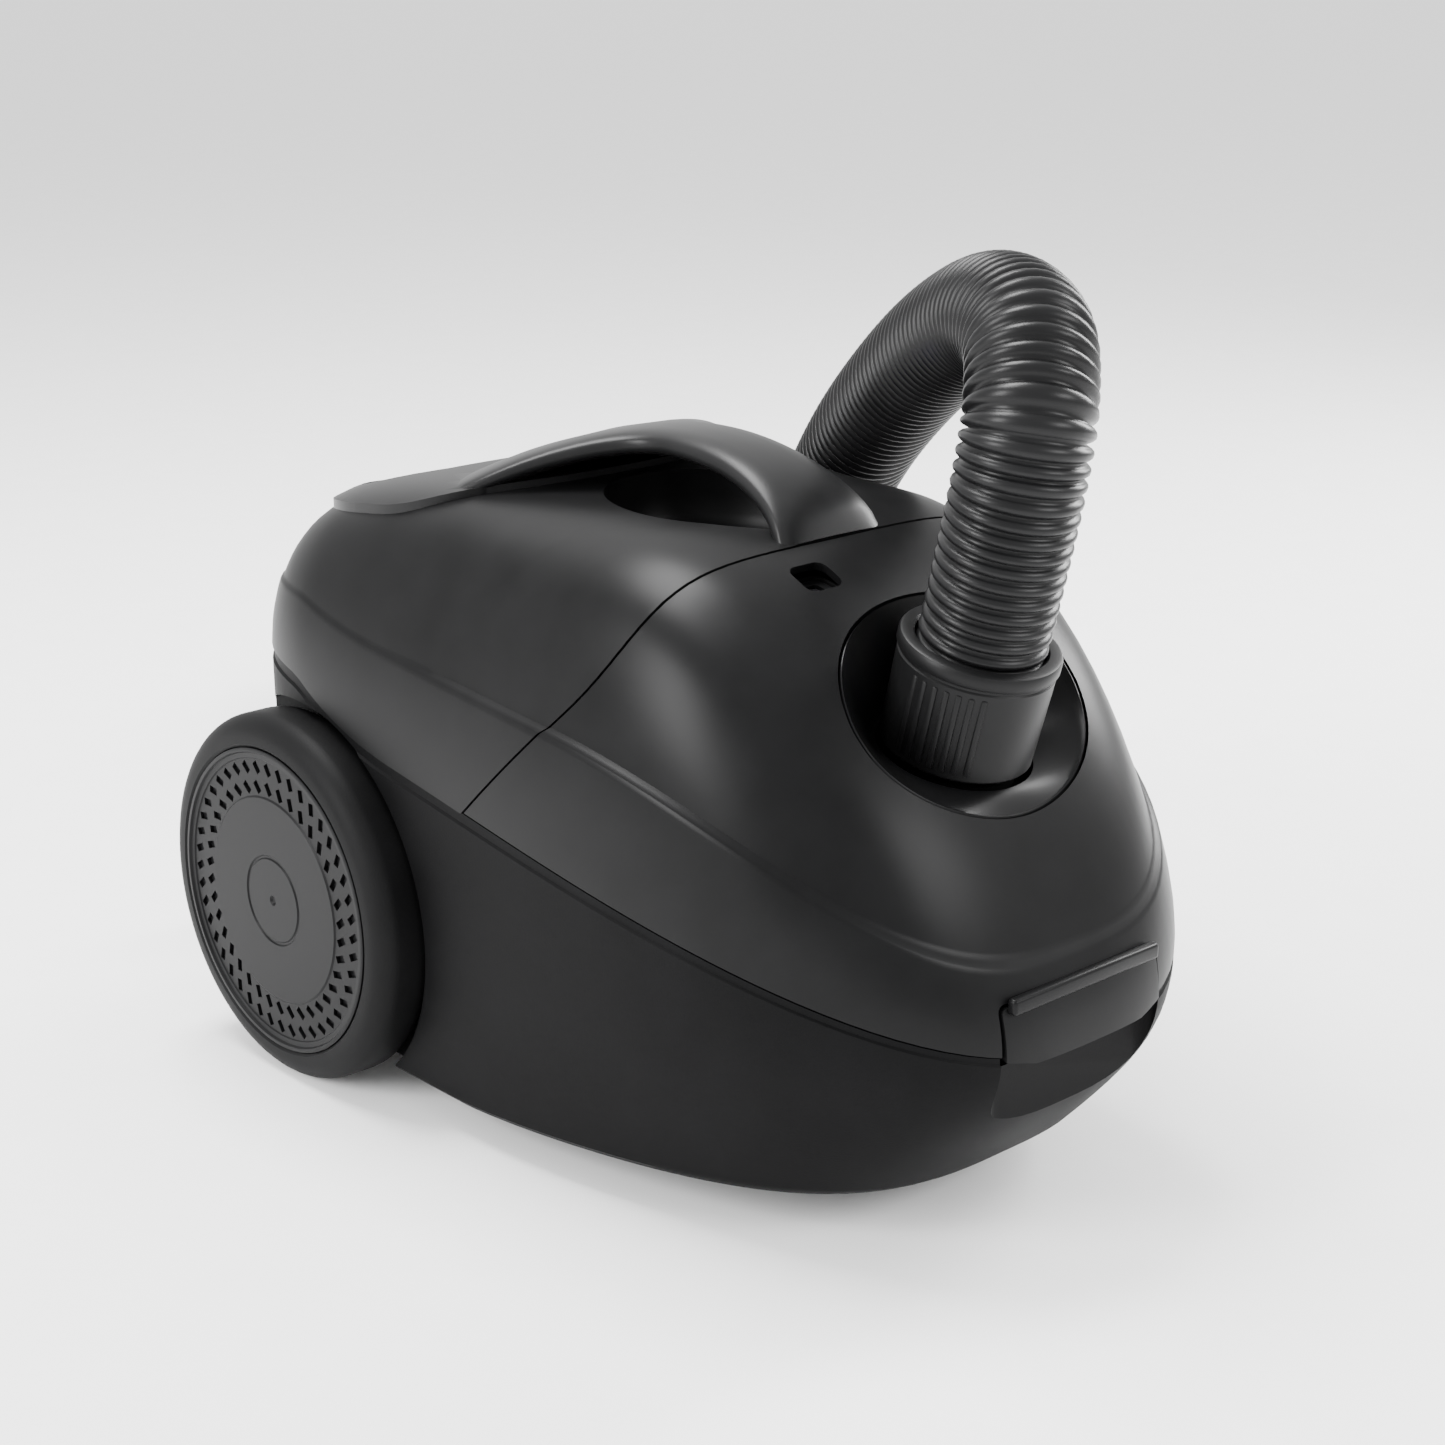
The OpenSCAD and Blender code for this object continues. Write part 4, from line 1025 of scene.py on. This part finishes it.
@dataclass(frozen=True)
class Inlet:
    """Oval bowl in the lid and the cuff that plugs into it.

    Args:
        wide: Half axis of the bowl across.
        long: Half axis of the bowl along.
        seat: Radius of the opening that the cuff passes.
        above: Height from which the bowl's rim is sought on the lid.
    """

    wide: float = 55.0
    long: float = 38.0
    seat: float = 28.4
    above: float = 150.0

    def bowl(self) -> bpy.types.Object:
        """Bowl that falls from a rim on the lid down to the cuff."""
        skin = FORM.dome_solid("skin", 0, Shells.lift)
        bm = bmesh.new()
        bm.from_mesh(skin.data)
        tree = BVHTree.FromBMesh(bm)
        bm.free()
        bpy.data.meshes.remove(skin.data)
        down = (INLET.to_3x3() @ Vector((0, 0, -1))).normalized()
        turns = [math.tau * i / 144 for i in range(144)]
        rim = []
        for a in turns:
            start = INLET @ Vector((self.wide * math.cos(a), self.long * math.sin(a), self.above))
            hit = tree.ray_cast(start * MM, down)[0]
            rim.append((INLET.inverted() @ (hit / MM)).z)

        def ring(share: float, drop: float) -> Ring:
            out = []
            for a, z in zip(turns, rim):
                s = clamp(share)
                x = (self.wide - 1.0) * math.cos(a) * (1 - s) + self.seat * math.cos(a) * s
                y = (self.long - 0.6) * math.sin(a) * (1 - s) + self.seat * math.sin(a) * s
                fall = ease(s * 0.5 + 0.5) * 2 - 1
                height = z + (-1.0 - z) * (0.35 * s + 0.65 * fall)
                out.append(INLET @ Vector((x, y, height - drop)))
            return out

        outer = [[INLET @ Vector(((self.wide - e) * math.cos(a), (self.long - e) * math.sin(a), z - d))
                  for a, z in zip(turns, rim)] for e, d in ((0.1, 7.0), (0.1, 1.3), (0.5, 0.5))]
        shares = [0.0, 0.03, 0.07, 0.14, 0.22, 0.32, 0.42, 0.54, 0.66, 0.78, 0.9, 1.0]
        tops = [ring(s, 0.3 + 0.5 * ease(s * 14)) for s in shares]
        under = [ring(s, 4.2) for s in reversed(shares)]
        bowl = loft("inlet_bowl_dished", outer + tops + under, wrap=True)
        return dress(bowl, "lid", "lid", ["inlet_bowl"])

    def cuff(self) -> bpy.types.Object:
        """Cuff with grip ribs, a rim ring and the release slot."""
        profile = [(19.9, -38), (19.95, 0), (26.8, 0), (27.4, 0.8), (28.2, 34.6), (27.6, 35.2),
                   (27.6, 36.0), (28.6, 36.6), (29.0, 37.4), (29.0, 40.6), (28.4, 41.6),
                   (27.6, 42), (24.2, 42), (23.4, 41.2), (23.4, 12), (17, 12), (17, -38)]
        cuff = lathe("hose_cuff_ribbed", profile, INLET, 128)
        carve(cuff, self._release_slot((24, -7, 4), (33, 7, 26)))
        for i in range(7):
            turn = Matrix.Rotation(math.radians(176 + 9 * i), 4, "Z")
            rib = block("rib", (26.4, -1.1, 3), (28.7, 1.1, 33), 0.7, 2)
            rib.data.transform(Matrix.Scale(MM, 4) @ INLET @ turn @ Matrix.Scale(1 / MM, 4))
            carve(cuff, rib, "UNION")
        return dress(cuff, "cuff", "cuff", ["hose_cuff"])

    @staticmethod
    def _release_slot(low: Point, high: Point) -> bpy.types.Object:
        """Cutter for the release slot, given in the inlet's own frame.

        Args:
            low: Lowest corner.
            high: Highest corner.

        Returns:
            The cutter.
        """
        cut = block("slot", low, high, 1.2, 2)
        cut.data.transform(Matrix.Scale(MM, 4) @ INLET @ Matrix.Scale(1 / MM, 4))
        return cut


@dataclass(frozen=True)
class Wheel:
    """Rear wheel: tyre with round shoulders and a louvred cap.

    Args:
        radius: Radius over the tread.
        rim: Radius of the rim.
        width: Width of the tyre.
    """

    radius: float = 75.0
    rim: float = 63.0
    width: float = 28.0

    def make(self, side: int, word: str) -> None:
        """Builds the tyre and cap of one side.

        Args:
            side: -1 for left, 1 for right.
            word: Name of the side.
        """
        place, w, r = wheel_place(side), self.width, self.radius
        arc = [(r - 10 + 10 * math.cos(t), w - 9 + 9 * math.sin(t))
               for t in (math.radians(80 - 10 * i) for i in range(9))]
        back = [(r - 10 + 10 * math.cos(t), 9 + 9 * math.sin(t))
                for t in (math.radians(-10 * i) for i in range(10))]
        tread = [(self.rim, 1.5), (self.rim, w - 1.5), (r * 0.836, w - 0.7), (r * 0.85, w + 0.1)]
        tyre = lathe(f"tyre_{word}_round", tread + arc + back, place, 144)
        dress(tyre, f"wheel_{word}", "tyre", [f"tyre_{word}"], 40)
        cap_r = r * 0.83
        face = [(0.01, w - 4), (self.rim - 3.6, w - 4), (self.rim - 3.6, w - 2.6),
                (cap_r, w - 1.4), (cap_r, w - 0.2), (cap_r - 0.4, w), (cap_r - 1.6, w),
                (cap_r - 2.2, w - 0.9), (r * 0.775, w - 1.0), (r * 0.77, w - 1.5),
                (r * 0.755, w - 1.5), (r * 0.57, w - 1.3), (r * 0.56, w - 0.8),
                (r * 0.545, w - 0.8), (r * 0.25, w - 0.8), (r * 0.243, w - 1.3),
                (r * 0.233, w - 1.3), (r * 0.226, w - 0.8), (2.2, w - 0.8), (1.2, w - 1.6),
                (0.01, w - 1.7)]
        cap = lathe(f"wheel_cap_{word}_louvred", face, place, 144)
        cutter = bmesh.new()
        for low, high, count, slant in ((0.69, 0.757, 44, 34), (0.583, 0.652, 38, 34)):
            for i in range(count):
                made = bmesh.ops.create_cube(cutter, size=1.0)["verts"]
                bmesh.ops.scale(cutter, vec=(r * (high - low), 2.9, 4.0), verts=made)
                bmesh.ops.rotate(cutter, cent=(0, 0, 0), verts=made,
                                 matrix=Matrix.Rotation(math.radians(slant), 3, "Z"))
                bmesh.ops.translate(cutter, vec=(r * (low + high) / 2, 0, w - 0.9), verts=made)
                bmesh.ops.rotate(cutter, cent=(0, 0, 0), verts=made,
                                 matrix=Matrix.Rotation(math.tau * i / count, 3, "Z"))
        bmesh.ops.transform(cutter, matrix=Matrix.Scale(MM, 4) @ place, verts=cutter.verts)
        carve(cap, from_bmesh("louvres", cutter))
        dress(cap, f"wheel_{word}", "cap", [f"wheel_cap_{word}"])


@dataclass(frozen=True)
class SmallParts:
    """Latch, buttons, indicator pane and dust bag."""

    def latch(self) -> None:
        """Curved latch panel with its hook and pivot bar."""
        panel = FORM.dome_solid("latch_lever_panel", -0.7, 0.2)
        carve(panel, block("edge", (-40.2, -200, 79.8), (40.2, -176, 101.4), 3, 4), "INTERSECT")
        carve(panel, FORM.dome_solid("inside", 2.8, -3))
        carve(panel, block("bar", (-38, -191, 99), (38, -187, 105), 1.4, 3), "UNION")
        carve(panel, block("hook", (-14, -191, 80.5), (14, -179, 84), 1, 2), "UNION")
        carve(panel, block("claw", (-14, -182, 72), (14, -178, 83), 1, 2), "UNION")
        dress(panel, "latch", "lid", ["latch_lever"])
        across = Matrix.Translation((0, -188.2, 103)) @ Matrix.Rotation(math.radians(90), 4, "Y")
        pin = prism("latch_pin_bar", oval(1.1, 1.1, 24), -37, 37, across)
        dress(pin, "lid", "dark", ["latch_pin"])
        coils = prism("latch_spring_coils", oval(1.8, 1.8, 24), -30, -22, across)
        carve(coils, prism("coil", oval(1.8, 1.8, 24), 22, 30, across), "UNION")
        carve(coils, prism("core", oval(1.3, 1.3, 24), -32, 32, across))
        dress(coils, "lid", "dark", ["latch_spring"])

    def buttons(self) -> None:
        """The two rounded push buttons in the hand recess."""
        for name, body, y in (("power_button", "power", -20), ("rewind_button", "rewind", 16)):
            key = block(name + "_soft", (-19.6, y - 14.6, 210), (19.6, y + 14.6, 218.2), 2.6, 5)
            carve(key, prism("post", oval(4, 4, 32), 204, 212, Matrix.Translation((0, y, 0))),
                  "UNION")
            dress(key, body, "handle", [name])

    def arms(self) -> None:
        """Hinge arms that reach from the pins to the lid's inner face."""
        arms = None
        for x in (-62, 62):
            arm = block("arm", (x - 4, -74, 206), (x + 4, -30, 224), 1, 2)
            hub = prism("hub", oval(4.4, 4.4, 32), -4, 4, Matrix.Translation((x, -30, 227))
                        @ Matrix.Rotation(math.radians(90), 4, "Y"))
            carve(arm, hub, "UNION")
            carve(arm, FORM.dome_solid("limit", 1.5), "INTERSECT")
            arms = carve(arms, arm, "UNION") if arms else arm
        arms.name = "lid_arms_pair"
        dress(arms, "lid", "dark", ["lid_arms"])

    def pane(self) -> None:
        """Clear pane of the fill indicator, set into its cup."""
        cup = prism("indicator_cup", rounded(19, 16, 4.6), -9, -1, INDICATOR)
        carve(cup, prism("hole", rounded(16, 13, 3.6), -12, 6, INDICATOR))
        dress(cup, "lid", "dark")
        pane = prism("indicator_pane", rounded(15.6, 12.6, 3.4), -3.2, -2.0, INDICATOR)
        carve(pane, prism("view", rounded(8, 6, 1.6), -8, 4, INDICATOR))
        dress(pane, "lid", "lid")
        lens = prism("indicator_lens", rounded(8.4, 6.4, 1.8), -4.4, -3.3, INDICATOR)
        dress(lens, "lid", "lens", ["indicator_window"])

    def bag(self) -> None:
        """Fleece dust bag, swollen between its welded edges."""
        rings: list[Ring] = []
        for i in range(25):
            h = -1 + 2 * i / 24
            full = (1 - abs(h) ** 3.2) ** 0.42 if abs(h) < 1 else 0.05
            ring = []
            for j in range(120):
                a = math.tau * j / 120
                r = (abs(math.cos(a)) ** 3 + abs(math.sin(a)) ** 3) ** (-1 / 3)
                fold = 1 + 0.012 * math.sin(9 * a + 3 * h) + 0.01 * math.sin(23 * a - 5 * h)
                k = (0.12 + 0.88 * full) * fold
                rise = 26 * h * (1 + 0.02 * math.sin(5 * a))
                ring.append(Vector((80 * k * r * math.cos(a) * 0.98,
                                    -64 + 38 * k * r * math.sin(a), 80 + rise)))
            rings.append(ring)
        dress(loft("dust_bag_fleece", rings), "base", "paper", ["dust_bag"], 60)


def dress_nodes() -> None:
    """Gives every CAD node that stays its finish."""
    for finish, names in CAD_FINISH.items():
        for name in names:
            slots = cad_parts[name].data.materials
            for i in range(len(slots)):
                slots[i] = PALETTE.get(finish)


def main() -> None:
    """Builds the studio and every piece."""
    logging.basicConfig(level=logging.INFO, format="%(message)s")
    Studio().make()
    Hose().make()
    shells = Shells()
    shells.casing()
    shells.cover()
    shells.lid()
    Handle().make()
    Window().make()
    inlet = Inlet()
    inlet.bowl()
    inlet.cuff()
    for side, word in ((-1, "left"), (1, "right")):
        Wheel().make(side, word)
    small = SmallParts()
    small.latch()
    small.buttons()
    small.pane()
    small.arms()
    small.bag()
    dress_nodes()


if __name__ == "__main__":
    main()
